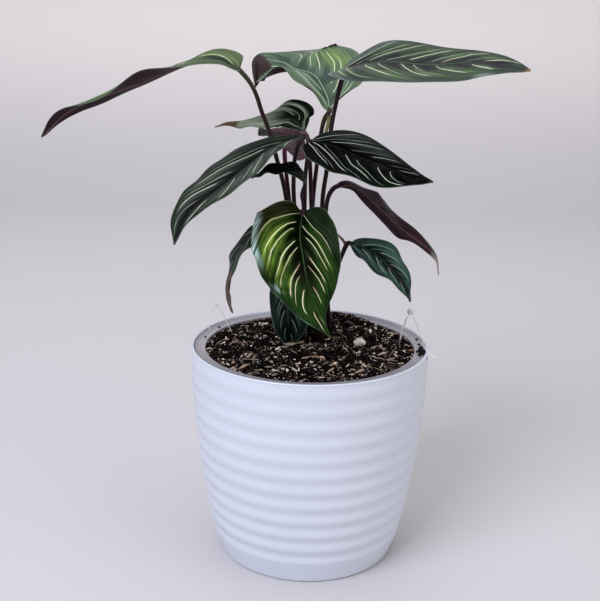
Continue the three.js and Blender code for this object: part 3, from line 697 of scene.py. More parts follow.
# The stalk stands at crown, passes through stalk and meets the blade where the midrib, rib, starts. facing is
# where the upper side looks at the base, and turn is the twist about the midrib. The blade is widest at that
# share of its length. A smaller fullness rounds it out, taper narrows its tip, and a lean above 0 makes its
# left half the wider one.
leaves = [
    {
        "name": "upper_left", "crown": (-9, 26),
        "stalk": [
            (-13, 18, 193), (-17, 16, 228), (-23, 14, 252), (-28, 13, 269), (-32, 10, 280), (-35, 6, 290),
            (-39, 3, 298)],
        "rib": [
            (-45, 0, 305), (-58, -2, 310), (-77, -8, 307), (-100, -10, 298), (-140, -16, 282),
            (-158, -20, 266)],
        "facing": (0, -0.3, 1), "turn": [-9, 13, 29, 18, 49],
        "width": 45, "widest": 0.29, "fullness": 0.48, "taper": 0.29, "lean": -0.15,
        "left": halfShape([21, 13], [-10, -15], 3, (-1.8, 2.3, -0.22)),
        "right": halfShape([5, -2], [-26, -18], 4, (3.1, 2.1, 0.22)),
    },
    {
        "name": "upper_back", "crown": (5, 32),
        "stalk": [(0, 27, 184), (0, 19, 222), (2, 16, 247), (4, 12, 266), (6, 10, 276)],
        "rib": [
            (9, 8, 281), (7, 25, 289), (-1, 40, 300), (-14, 55, 303), (-22, 69, 306), (-38, 73, 307),
            (-40, 74, 299), (-40, 78, 289)],
        "facing": (0, -0.9, 0.5), "turn": [-15, 24, 11, -25],
        "width": 62, "widest": 0.47, "fullness": 0.8, "taper": 0.19, "lean": -0.15,
        "left": halfShape([27, 4, -5], [25, -59], 3, (-3.1, 3.1, 0.43)),
        "right": halfShape([9, 32, -15], [18, -59], 3, (-1.6, 3.6, 0.59)),
    },
    {
        "name": "upper_right", "crown": (12, 28),
        "stalk": [(6, 14, 194), (6, 7, 227), (8, 4, 246), (10, 1, 271), (13, -1, 289)],
        "rib": [
            (16, -2, 302), (18, -6, 307), (37, -19, 312), (63, -25, 311), (92, -34, 313), (116, -46, 310)],
        "facing": (0, -0.6, 1), "turn": [-18, -8, -2, -3, 14],
        "width": 47, "widest": 0.34, "fullness": 0.66, "taper": 0.19, "lean": -0.15,
        "left": halfShape([19, 5], [-8, -19], 3, (-0.4, 2.1, -0.01)),
        "right": halfShape([11, 12], [-13, -12], 3, (1.9, 2.1, 0.23)),
    },
    {
        "name": "middle_left_small", "crown": (7, 25),
        "stalk": [(1, 17, 193), (-1, 12, 226), (-2, 13, 246), (-3, 14, 256), (-4, 15, 264)],
        "rib": [
            (-6, 16, 267), (-10, 21, 271), (-17, 29, 274), (-41, 35, 269.8), (-55, 36, 269),
            (-63, 37, 267)],
        "facing": (0, -0.5, 1), "turn": [10, 9, -12],
        "width": 39, "widest": 0.46, "fullness": 1.07, "taper": 0.27, "lean": -0.15,
        "left": halfShape([-3, 21], [-23, -7], 1, (0.5, 3.7, 0.04)),
        "right": halfShape([29, -9], [8, -31], 2, (0.8, 3.3, 0.17)),
    },
    {
        "name": "middle_left", "crown": (-5, 22),
        "stalk": [
            (-9.2, 13, 194), (-11.7, 12, 226), (-12.1, 11, 238), (-11.6, 9, 251), (-9.7, 4, 260),
            (-7, -2, 265)],
        "rib": [
            (-6, -9, 268), (-25, -14.5, 261.3), (-36.5, -19, 253), (-53, -26.8, 240), (-72, -37, 225.2),
            (-78.6, -45, 209.5)],
        "facing": (-0.4, -0.5, 0.75), "turn": [22, 12, 7],
        "width": 52, "widest": 0.43, "fullness": 0.72, "taper": 0.39, "lean": -0.15,
        "left": halfShape([13, 17], [-12, -10], 3, (0.4, 4.6, -0.01)),
        "right": halfShape([9, 8], [-15, -14], 3, (-0.4, 5.2, 0.1)),
    },
    {
        "name": "middle_right", "crown": (0, 27),
        "stalk": [
            (-3.5, 12.5, 193), (-4.8, 9, 215), (-5, 7, 233), (-4.8, 5, 243), (-3.6, 0, 255),
            (-2.8, -6, 261)],
        "rib": [
            (-2, -10, 265), (10, -17, 264), (26, -27, 259), (40, -38, 255.2), (54, -49.5, 251.2),
            (65, -60, 250.8)],
        "facing": (0.1, -0.6, 0.8), "turn": [-19, -19, -4],
        "width": 58, "widest": 0.4, "fullness": 0.72, "taper": 0.28, "lean": -0.15,
        "left": halfShape([18, -8], [-10, -29], 5, (0.1, 3.4, 0.32)),
        "right": halfShape([10, 12], [-14, -14], 3, (-0.6, 3.6, 0.56)),
    },
    {
        "name": "front", "crown": (5, 15),
        "stalk": [(1, 9, 178), (-3, 0, 208), (-6, -12, 222), (-7, -20, 225)],
        "rib": [
            (-6, -26, 225), (-7, -39, 215), (-5, -49, 205), (-2, -54, 191), (3, -61, 176), (12, -63, 161)],
        "facing": (0, -0.9, 0.5), "turn": [-8, 0, -35],
        "width": 55, "widest": 0.28, "fullness": 1.02, "taper": 0.22, "lean": -0.1,
        "left": halfShape([50, -3], [18, -24], 2, (-0.3, 5.0, 0.68)),
        "right": halfShape([34, 19], [-20, -52], 6, (-4.8, 4.8, 0.72)),
    },
    {
        "name": "low_front", "crown": (-4, 14),
        "stalk": [(-9, 12, 168), (-13, 9, 187), (-15, 6, 190)],
        "rib": [(-16, 3, 188), (-15, -1, 171), (-14, -4, 152), (-13, -1, 135)],
        "facing": (0, -0.9, 0.4), "turn": [4, -3],
        "width": 26, "widest": 0.44, "fullness": 0.52, "taper": 0.04, "lean": 0.15,
        "left": halfShape([11, 14], [-13, -9], 3),
        "right": halfShape([10, 15], [-18, -15], 3),
    },
    {
        "name": "right_folded", "crown": (13, 21),
        "stalk": [(8, 5, 196), (8, -2, 220), (9, -4, 230), (11, -5, 235)],
        "rib": [
            (14, -6, 238), (25, -9, 239), (41, -18, 227), (53, -31, 218), (70, -40, 206), (73, -46, 195)],
        "facing": (0.4, 0.6, 0.7), "turn": [32, 7, -5],
        "width": 39, "widest": 0.41, "fullness": 0.87, "taper": 0.53, "lean": -0.15,
        "left": halfShape([-4, 20], [-27, -7], 3),
        "right": halfShape([10, -5], [-13, -26], 2),
    },
    {
        "name": "lower_right", "crown": (7.5, 11.5),
        "stalk": [(8.5, 1, 165), (16.5, -8, 191), (21, -12, 204)],
        "rib": [(23, -14, 205), (35, -20, 202), (44, -26, 196), (53, -32, 187), (58, -40, 177)],
        "facing": (0.4, -0.6, 0.6), "turn": [-9, -16, -23],
        "width": 33, "widest": 0.47, "fullness": 0.82, "taper": 0.11, "lean": 0.02,
        "left": halfShape([18, -5], [-8, -27], 3),
        "right": halfShape([12, 17], [-14, -9], 1),
    },
    {
        "name": "lower_left", "crown": (-10, 17),
        "stalk": [(-15, 12, 168), (-23, 6, 198), (-30, 2, 212), (-33, -2, 213)],
        "rib": [(-34, -6, 211), (-41, -7, 203), (-47, -12, 192), (-50, -17, 173), (-47, -24, 163)],
        "facing": (-0.8, -0.5, 0.4), "turn": [19, 25, 9],
        "width": 31, "widest": 0.38, "fullness": 0.67, "taper": 0.26, "lean": -0.01,
        "left": halfShape([1, 25], [-23, -3], 3),
        "right": halfShape([12, -3], [-13, -25], 4),
    },
    {
        "name": "inner_young", "slim": 0.6, "crown": (0, 20),
        "stalk": [(-4, 8, 195), (-6, 1, 224), (-7, -2, 232), (-5, -5, 239)],
        "rib": [(-5, -8, 243), (-9, -11, 248), (-17, -9, 249), (-27, -7, 247), (-37, -6, 242)],
        "facing": (-0.2, -0.5, 0.85), "turn": [4, -1],
        "width": 17, "widest": 0.39, "fullness": 0.61, "taper": 0.3, "lean": 0.02,
        "left": halfShape([10], [-25, -3], 6),
        "right": halfShape([9], [-27, -2], 3),
    },
    {
        "name": "behind", "crown": (-5, 31),
        "stalk": [(-11, 23, 191), (-15, 20, 226), (-17, 19, 242), (-18, 18, 253)],
        "rib": [(-18, 18, 257), (-18, 36, 259), (-19, 55, 258), (-21, 72, 263), (-21, 88, 261)],
        "facing": (-0.45, 0, -0.9), "turn": [18, -31],
        "width": 36, "widest": 0.37, "fullness": 0.8, "taper": 0.36, "lean": -0.04,
        "left": halfShape([-3], [21, 11], 3, (-0.8, 3.0, 0.2)),
        "right": halfShape([1], [17, 17], 3, (-0.8, 3.0, 0.2)),
    },
]
# Every leaf has the common look, apart from what its own look says.
# left and right give the veins of each half: how far they arch forward, how sharply, how much more so
# towards the tip, how many pairs there are along the midrib, and where the first one starts. Each darkness
# and glow has a share inside a pair of lines, at a line and between two pairs. A sheen is a highlight painted
# into the colour: it has its half, its place along the blade and its reach, its place across it and its
# spread, and its strength.
# edge is the colour of a thin highlight painted along each blade's margin
commonLook = {
    "left": (0.4, 1.5, 0.4, 5.2, 0.1), "right": (0.4, 1.5, 0.4, 5.2, 0.6), "dark": "070b07",
    "green": "1d3021", "band": "34522c", "line": "c9ccb8", "inner": "b98a80", "rib": "2c3a30",
    "edge": "66786a", "margin": "14261c", "lobe": ("1d3021", "1d3021"), "tip": "3a3428", "tipShare": 0.02,
    "tipSlant": 0.0, "glow": (0.6, 0.6), "glowShares": (1.0, 0.7, 0.3), "glowFrom": 0.0, "glowTo": 0.95,
    "glowOut": (0.12, 0.45), "darkShares": (0.35, 0.15, 0.5), "darkTo": 1.2, "lineWidth": 0.5,
    "lineStart": 0.09, "lineEnd": (0.84, 0.84), "lineDraw": (0.3, 0.3), "firstLine": -0.09, "lastLine": 0.8,
    "marginFrom": 0.8, "singleFrom": (0.5, 0.5), "pinkFrom": 0.3, "ribTo": 0.85, "streaks": 0.5,
    "gloss": 0.34, "shine": 0.08, "bending": 1.45, "paintedSheen": [], "paintedSheenColour": "93a8a0",
}
looks = {
    "upper_left": {
        "green": "48683e", "band": "7c9858", "line": "c8caa0", "rib": "4c6440", "dark": "141c10",
        "margin": "34482e", "lobe": ("48603c", "5a6c44"), "darkShares": (0.1, 0.1, 0.35), "tipShare": 0.05,
        "shine": 0.16, "streaks": 0.8},
    "upper_back": {
        "left": (0.62, 1.3, 0.2, 6.0, 0.3), "green": "4e6650", "band": "7f9c48", "dark": "2e4034",
        "line": "c2c9ac", "rib": "7f9a80", "glow": (0.0, 1.0), "glowShares": (1.0, 0.9, 0.7),
        "glowFrom": 0.2, "lobe": ("566e50", "566e50"), "darkShares": (0.05, 0.05, 0.3), "margin": "4a6040",
        "shine": 0.16, "glowTo": 0.62, "tip": "2e2020", "tipShare": 0.25, "tipSlant": 0.14,
        "lineWidth": 0.4, "inner": "a89a88", "streaks": 0.8, "ribTo": 1.0,
        "paintedSheen": [(0, 0.3, 0.35, 0.55, 0.5, 0.5)], "paintedSheenColour": "8ba08e"},
    "upper_right": {
        "left": (0.42, 1.044, -0.447, 5.3, -0.21), "right": (0.143, 1.869, 2.5, 5.87, 0.16),
        "lineEnd": (0.95, 0.92), "lineDraw": (0.1, 0.45), "singleFrom": (0.8, 0.5), "green": "324638",
        "band": "6e8c4a", "rib": "465a42", "dark": "1c1e20", "line": "bcc3a8", "inner": "c0a08a",
        "darkShares": (0.14, 0.12, 0.4), "lineStart": 0.03, "tip": "7c604a", "tipShare": 0.02,
        "shine": 0.16, "lineWidth": 0.42, "lobe": ("5a6c64", "7a8e8a"), "lobeUnder": "6f827e",
        "margin": "34463a", "streaks": 1.1, "pinkFrom": 0.45, "paintedSheen": [(1, 0.8, 0.08, 0.92, 0.2, 0.6)],
        "paintedSheenColour": "a9bfb8"},
    "middle_left_small": {
        "green": "8a9882", "band": "a8b49c", "dark": "0c120c", "line": "909c84", "lineWidth": 0.32,
        "lobe": ("0d120c", "0d120c"), "darkShares": (0.4, 0.5, 0.9), "darkTo": 0.42, "tip": "5e4430",
        "tipShare": 0.24, "margin": "5c6a58", "streaks": 0.6,
        "paintedSheen": [(0, 0.55, 0.42, 0.5, 0.65, 0.9), (1, 0.65, 0.3, 0.7, 0.5, 0.5)], "paintedSheenColour": "98a294"},
    "middle_left": {
        "left": (0.101, 1.174, 2.5, 5.07, 0.05), "right": (0.664, 1.247, -0.184, 3.49, 0.01),
        "green": "1e2c20", "band": "3a5438", "dark": "060a06", "line": "c2c8b8", "lineWidth": 0.46,
        "lobe": ("10180f", "1c2a1e"), "streaks": 1.0, "lineEnd": (0.9, 0.95), "lineDraw": (0.1, 0.3),
        "singleFrom": (0.5, 0.7), "paintedSheen": [(0, 0.5, 0.5, 0.6, 0.6, 0.2), (1, 0.6, 0.4, 0.5, 0.5, 0.3)],
        "paintedSheenColour": "8a948c"},
    "middle_right": {
        "left": (0.715, 1.0, -0.8, 3.31, 0.49), "right": (1.211, 1.952, -0.8, 3.54, 0.29),
        "green": "070d09", "band": "12281a", "dark": "010201", "line": "b6bab0", "margin": "0e1812",
        "rib": "1c2a20", "lineWidth": 0.36, "glow": (0.2, 0.7), "glowFrom": 0.35, "pinkFrom": 0.65,
        "shine": 0.03, "bending": 1.22, "gloss": 0.42, "singleFrom": (0.75, 0.75), "lineEnd": (0.88, 0.96),
        "lineDraw": (0.3, 0.0), "firstLine": -0.32, "lobe": ("1a201b", "0b100c"), "streaks": 0.7,
        "paintedSheen": [(0, 0.35, 0.35, 0.6, 0.5, 0.4)], "paintedSheenColour": "6a706e"},
    "front": {
        "left": (0.848, 1.319, -0.608, 4.29, 0.873), "right": (0.33, 1.272, 0.324, 6.02, 0.85),
        "dark": "060b03", "green": "264418", "band": "8aac3e", "line": "dcdab4", "glow": (0.22, 1.0),
        "glowShares": (0.8, 1.0, 0.3), "glowFrom": 0.06, "glowTo": 0.66, "glowOut": (0.2, 0.5),
        "darkShares": (0.5, 0.16, 0.3), "darkTo": 0.6, "lineEnd": (0.88, 0.95), "lineDraw": (0.6, 0.48),
        "lineStart": 0.05, "marginFrom": 0.78, "margin": "1e3a1c", "rib": "3a5030", "ribTo": 0.7,
        "lobe": ("21301a", "2a2a14"), "tip": "4a4028", "edge": "5e7860", "streaks": 1.0, "lineWidth": 0.42,
        "bending": 1.3, "paintedSheen": [(1, 0.3, 0.17, 0.96, 0.12, 1.0), (1, 0.57, 0.07, 0.86, 0.13, 0.9)],
        "paintedSheenColour": "b0ccc8"},
    "low_front": {
        "green": "15251e", "band": "22362e", "line": "6e7c74", "lineWidth": 0.3, "edge": "7c9088",
        "lobe": ("15251e", "15251e"), "tip": "a0967f", "tipShare": 0.045},
    "lower_right": {
        "green": "31493f", "band": "5c8072", "dark": "0c1714", "line": "8ca498", "lineWidth": 0.4,
        "lobe": ("2c4640", "2c4640"), "paintedSheen": [(0, 0.5, 0.4, 0.6, 0.5, 0.5)], "paintedSheenColour": "5f8578"},
    "lower_left": {
        "green": "3a4a40", "band": "5c6a60", "dark": "10160f", "line": "8a968c", "lineWidth": 0.4,
        "tip": "544843", "tipShare": 0.5, "paintedSheen": [(1, 0.5, 0.4, 0.6, 0.5, 0.5)], "paintedSheenColour": "6e7c72"},
    "right_folded": {"tipUnder": "8a807a", "tip": "8a807a", "tipShare": 0.12},
    "inner_young": {"green": "0c100d", "band": "141a15", "line": "4c5650", "lineWidth": 0.25},
}
bladeForm = {
    "rows": 120, "columns": 38, "thickness": 0.45, "keel": 0.95, "keelWidth": 0.9, "groove": 0.35,
    "grooveWidth": 0.7, "relief": 0.32, "lobeReach": 0.3, "taperStart": 0.7, "end": 0.8,
    "columnBlend": (0.35, 0.65, 1.3), "marginThinning": 0.5, "keelFade": 0.75, "straight": 1e-6,
    "lastColumns": (0.99, 1), "reliefFrom": (0.02, 0.25), "reliefTo": (1.0, 0.75), "reliefWidth": (2, 9),
}


def stopsAt(stops, along):
    # the value at each place along the blade, eased from one stop to the next
    stops = np.asarray(stops, float)
    if len(stops) == 1:
        return np.full(along.shape, stops[0])
    place = along * (len(stops) - 1)
    low = np.minimum(place.astype(int), len(stops) - 2)
    return stops[low] + (stops[low + 1] - stops[low]) * eased(place - low)


def unit(vectors):
    return vectors / np.linalg.norm(vectors, axis=-1, keepdims=True)


def midribFrames(leaf, rows):
    # points along the midrib, which way it heads there, and which way the blade faces and spreads
    points, length = courseThrough(leaf["rib"], rows)
    ahead = unit(np.gradient(points, axis=0))
    carriedOn = np.array(leaf["facing"], float)
    facing = np.zeros_like(points)
    turn = np.radians(stopsAt(leaf["turn"], np.linspace(0, 1, rows + 1)))
    for row, heading in enumerate(ahead):
        carriedOn = unit(carriedOn - carriedOn @ heading * heading)
        facing[row] = carriedOn * math.cos(turn[row]) + np.cross(heading, carriedOn) * math.sin(turn[row])
    return points, ahead, facing, np.cross(ahead, facing), length


def halfWidths(leaf, along):
    skewed = along ** (math.log(0.5) / math.log(leaf["widest"]))
    full = np.maximum(0, np.sin(math.pi * skewed)) ** leaf["fullness"]
    start = bladeForm["taperStart"]
    drawn = 1 - leaf["taper"] * eased((along - start) / (1 - start))
    return np.maximum(bladeForm["end"], leaf["width"] / 2 * full * drawn)


def bladeColumns():
    # from margin to margin, closer together at the midrib and at the margins
    share = np.linspace(0, 1, bladeForm["columns"])
    inner, outer, draw = bladeForm["columnBlend"]
    out = inner * share ** 2 + outer * (1 - (1 - share) ** draw)
    out = np.append(out[:-1], bladeForm["lastColumns"])
    return np.concatenate([-out[:0:-1], out])


def bladeSurface(leaf):
    rows = bladeForm["rows"]
    along = np.linspace(0, 1, rows + 1)
    points, ahead, facing, right, length = midribFrames(leaf, rows)
    width = halfWidths(leaf, along)
    share = 2 * width / leaf["width"]
    columns = bladeColumns()
    grid = np.zeros((rows + 1, len(columns), 3))
    for column, across in enumerate(columns):
        hand, out = (-1, -across) if across < 0 else (1, across)
        side = leaf["left"] if across < 0 else leaf["right"]
        fold = np.radians(stopsAt(side["fold"], along))
        bend = np.radians(stopsAt(side["bend"], along))
        bend = np.where(np.abs(bend) < bladeForm["straight"], bladeForm["straight"], bend)
        spread = width * (1 - hand * leaf["lean"])
        slope = fold + bend * out
        outward = spread * (np.sin(slope) - np.sin(fold)) / bend
        lift = spread * (np.cos(fold) - np.cos(slope)) / bend
        height, count, start = side["ripple"]
        wave = height * np.minimum(1, 4 * share) * out ** 2 * np.sin(fullTurn * (count * along + start))
        back = side["lobe"] * np.maximum(0, 1 - along / bladeForm["lobeReach"]) ** 2 * out ** 1.5 * share
        grid[:, column] = (points + right * (hand * (outward - wave * np.sin(slope)))[:, None]
                           + facing * (lift + wave * np.cos(slope))[:, None] - ahead * back[:, None])
    return grid, columns, along, width, length


def bladeMesh(leaf, name):
    # an upper and a lower side, joined round the margin; each point carries its place on the blade
    grid, columns, along, width, length = bladeSurface(leaf)
    rows, count = grid.shape[0], grid.shape[1]
    normal = unit(np.cross(np.gradient(grid, axis=1), np.gradient(grid, axis=0)))
    reach = np.abs(columns)[None, :] * width[:, None]
    thinning = 1 - bladeForm["marginThinning"] * np.abs(columns) ** 6
    thin = bladeForm["thickness"] / 2 * thinning[None, :] * np.ones((rows, 1))
    fade = (1 - bladeForm["keelFade"] * along)[:, None]
    keel = bladeForm["keel"] * fade * np.exp(-(reach / bladeForm["keelWidth"]) ** 2)
    groove = bladeForm["groove"] * fade * np.exp(-(reach / bladeForm["grooveWidth"]) ** 2)
    top = grid + normal * (thin - groove)[..., None]
    under = grid - normal * (thin + keel)[..., None]
    points = np.concatenate([top.reshape(-1, 3), under.reshape(-1, 3)])
    below = rows * count
    place = np.arange(below).reshape(rows, count)
    a, b, c, d = (part.ravel() for part in (place[:-1, :-1], place[:-1, 1:], place[1:, 1:], place[1:, :-1]))
    faces = np.concatenate([np.stack([a, b, c, d], 1), np.stack([d, c, b, a], 1) + below]).tolist()
    border = np.concatenate([place[0, ::-1], place[1:, 0], place[-1, 1:], place[-2:0:-1, -1]])
    for here, after in zip(border, np.roll(border, -1)):
        faces.append((here, after, after + below, here + below))
    piece = newPiece(name, points, faces)
    spots = np.stack(np.broadcast_arrays(along[:, None], columns[None, :], width[:, None]), -1).reshape(-1, 3)
    keepOnPoints(piece.data, "place", np.concatenate([spots, spots]))
    keepOnPoints(piece.data, "topward", np.tile(normal.reshape(-1, 3), (2, 1)))
    keepOnPoints(piece.data, "upper", np.repeat([1.0, 0.0], below))
    return piece, length


def veinRow(along, across, left, right):
    # which vein a spot belongs to: the veins leave the midrib at even steps and arch towards the tip
    side = across.over(0)
    out = abs(across)
    reach, curve, stretch, pairs, start = [side.pick(*both) for both in zip(left, right)]
    growth = reach * (stretch * along + 1)
    slope = growth * curve * out ** (curve - 1)
    return (along - growth * out ** curve) * pairs + start, out, side, slope, pairs


def veinTree():
    # raises the blade's skin in low waves between the veins, and gives each side its material
    tree, wire, last = newTree("blade veins", {
        "Left Arch": "Vector", "Left Pairs": "Float", "Left Start": "Float", "Right Arch": "Vector",
        "Right Pairs": "Float", "Right Start": "Float", "Relief": "Float", "Upper Finish": "Material",
        "Lower Finish": "Material"})
    along, across, width = partsOf(tree, pointValue(tree, "place", "FLOAT_VECTOR"))
    sides = [partsOf(tree, wire[hand + " Arch"]) + [wire[hand + " Pairs"], wire[hand + " Start"]]
             for hand in ("Left", "Right")]
    row, out, *_ = veinRow(along, across, *sides)
    swell = (row * (2 * fullTurn)).calc("COSINE") * wire["Relief"]
    height = (swell * out.ramp(*bladeForm["reliefFrom"]) * out.ramp(*bladeForm["reliefTo"])
              * width.ramp(*bladeForm["reliefWidth"]))
    moved = movedBy(tree, wire["Geometry"], pointValue(tree, "topward", "FLOAT_VECTOR"), height)
    upper = pointValue(tree, "upper")
    lower = upper.calc("LESS_THAN", upper, 0.5)
    endTree(tree, moved, wire["Upper Finish"], last, wire["Lower Finish"], lower)
    return tree


# How the pattern of every upper side is drawn. Widths of lines are in mm; the rest is a share of the way from
# the midrib to the margin, of the way between two veins, or of the blade's length. Most pairs of numbers are
# where something fades out or in; a blur, sway or spread has two amounts. Streaks have their scales along and
# across the veins, their detail and their roughness, and a cloud its scales and its shift.
drawing = {
    "wander": (3, 2, 1.6), "wanderBy": 0.03, "lineAt": 0.18, "inside": (0.02, 0.16), "between": (0.2, 0.45),
    "lineBlur": (0.17, 0.08), "lineThinning": 0.16, "lineWidest": 0.35, "chances": (0.3, 90.3),
    "startBy": 0.1, "endBy": 0.14, "startFade": 0.06, "endFade": (0.06, -0.08), "lastFade": 0.03,
    "firstFade": 0.04, "weakest": 0.65, "streaks": (9, 1.6, 3, 0.6), "fineStreaks": (34, 2.0, 2, 0.6),
    "glowSway": (0.2, 0.15), "glowMargin": (0.92, 0.66), "glowStart": 0.12, "glowEnd": 0.2,
    "mottle": (0.34, 0.62, 0.2, 1.0), "darkSway": (0.22, 0.08), "darkFade": (0.14, -0.12), "darkEnd": 0.12,
    "marginSway": 0.15, "marginTo": 0.98, "marginShare": 0.85, "lobeFade": (0.04, -0.08),
    "paintedSheenStreaks": (0.3, 0.8), "innerFade": (0.32, 0.12), "innerEnd": 0.1,
    "ribWidth": (0.65, 0.3), "ribEnd": 0.3, "ribShare": 0.8, "edgeHighlightWidth": (0.4, 0.15), "edgeHighlightShare": 0.7,
    "tipSway": 0.02, "tipFade": 0.86, "bumps": (0.5, 0.12), "cloud": (6, 3, 5.0), "mottleCloud": (5, 9, 3.0),
    "fineGlow": (0.55, 1.0), "sideShift": 40.0, "paintedSheenGrain": 0.6, "glossSpread": (0.06, 0.1),
    "shade": ((0.75, 0.15), (0.7, 0.1), (0.6, 0.3)), "shadeShares": (0.45, 0.3, 0.25),
}


def streaksOf(tree, spot, streaks):
    # noise drawn out along the veins
    alongVeins, acrossVeins, detail, roughness = streaks
    place = vectorOf(tree, spot.row * alongVeins, spot.out * acrossVeins, spot.along)
    return noiseOf(tree, place, 1.0, detail, roughness)


def upperSpot(tree, look, length):
    # where a spot of the upper side lies: along and across the blade, and from vein to vein
    along, across, width = partsOf(tree, carried(tree, "place", "Vector"))
    scaleAlong, scaleAcross, scale = drawing["wander"]
    wander = noiseOf(tree, vectorOf(tree, along * scaleAlong, across * scaleAcross, 0.0), scale, 2)
    row, out, side, slope, pairs = veinRow(
        along + (wander - 0.5) * drawing["wanderBy"], across, look["left"], look["right"])
    cell = row.calc("FLOOR")
    part = row - cell
    spot = SimpleNamespace(
        along=along, across=across, width=width, length=length, row=row, out=out, side=side, slope=slope,
        pairs=pairs, cell=cell, beside=abs(part - 0.5), second=part.over(0.5))
    spot.origin = (row - side.pick(look["left"][4], look["right"][4])) / pairs
    spot.streak = streaksOf(tree, spot, drawing["streaks"]).ramp(*noiseSpan)
    spot.fine = streaksOf(tree, spot, drawing["fineStreaks"]).ramp(*noiseSpan)
    return spot


def besideOf(spot, values):
    # one value between the two lines of a pair, one at a line and one between two pairs
    inside, at, between = values
    near, far = spot.beside.ramp(*drawing["inside"]), spot.beside.ramp(*drawing["between"])
    return near * (at - inside) + inside + far * (between - at)


def paleLines(tree, look, spot):
    # two pale lines to each vein; each starts, ends and fades in its own way
    draw = spot.cell * 2 + spot.second + spot.side * drawing["sideShift"]
    luck, otherLuck = [Wire(tree, addNode(tree, "ShaderNodeTexWhiteNoise", {"W": draw + shift},
                                          noise_dimensions="1D").outputs["Value"])
                       for shift in drawing["chances"]]
    steep = spot.slope * spot.length / spot.width
    lean = (steep * steep + 1.0).calc("INVERSE_SQRT")
    gap = abs(spot.beside - drawing["lineAt"]) / spot.pairs * spot.length * lean
    width = look["lineWidth"] / 2
    outer, inner = drawing["lineBlur"]
    thin = (gap + abs(spot.out - drawing["lineWidest"]) * drawing["lineThinning"]).ramp(
        width + outer, width - inner)
    starts = luck * drawing["startBy"] + look["lineStart"]
    ends = (spot.side.pick(*look["lineEnd"]) - spot.along * spot.along * spot.side.pick(*look["lineDraw"])
            - otherLuck * drawing["endBy"])
    shown = (spot.out.ramp(starts, starts + drawing["startFade"])
             * (spot.out - ends).ramp(*drawing["endFade"])
             * spot.origin.ramp(look["lastLine"] + drawing["lastFade"], look["lastLine"])
             * spot.origin.ramp(look["firstLine"], look["firstLine"] + drawing["firstFade"]))
    single = spot.origin.over(spot.side.pick(*look["singleFrom"])) * spot.second
    return thin * shown * (1 - single) * (otherLuck * (1 - drawing["weakest"]) + drawing["weakest"])


def brightBands(tree, look, spot):
    # the lighter bands between midrib and margin
    sway, marginSway = drawing["glowSway"]
    byRow, byAcross, shift = drawing["mottleCloud"]
    mottle = noiseOf(tree, vectorOf(tree, spot.row * byRow, spot.across * byAcross, shift), 1.0, 4, 0.65)
    glow = besideOf(spot, look["glowShares"]) * spot.side.pick(*look["glow"])
    glow = glow * (spot.out + (spot.streak - 0.5) * sway).ramp(*look["glowOut"])
    glow = glow * (spot.out - spot.streak * marginSway).ramp(*drawing["glowMargin"])
    glow = glow * spot.along.ramp(look["glowFrom"], look["glowFrom"] + drawing["glowStart"])
    glow = glow * spot.along.ramp(look["glowTo"], look["glowTo"] - drawing["glowEnd"])
    return glow * mottle.ramp(*drawing["mottle"]) * spot.fine.ramp(0.0, 1.0, *drawing["fineGlow"])


def darkWedges(look, spot):
    # the dark wedges that reach out from the midrib
    sway, fineSway = drawing["darkSway"]
    reach = besideOf(spot, look["darkShares"]) + (spot.streak - 0.5) * sway + (spot.fine - 0.5) * fineSway
    end = spot.along.ramp(look["darkTo"] + drawing["darkEnd"], look["darkTo"] - drawing["darkEnd"])
    return (spot.out - reach).ramp(*drawing["darkFade"]) * end


def paintedSheenPatches(look, spot):
    # painted highlights: pale patches laid into the colour where the blade catches the light, streaked along
    # the veins
    grain = drawing["paintedSheenGrain"]
    streaked = (spot.streak * grain + spot.fine * grain).ramp(*drawing["paintedSheenStreaks"])
    patches = []
    for hand, middle, reach, outward, spread, strength in look["paintedSheen"]:
        patch = abs(spot.along - middle).ramp(reach, 0.0) * abs(spot.out - outward).ramp(spread, 0.0)
        patch = patch * (spot.side if hand else 1 - spot.side) * streaked
        patches.append((patch * strength, look["paintedSheenColour"]))
    return patches


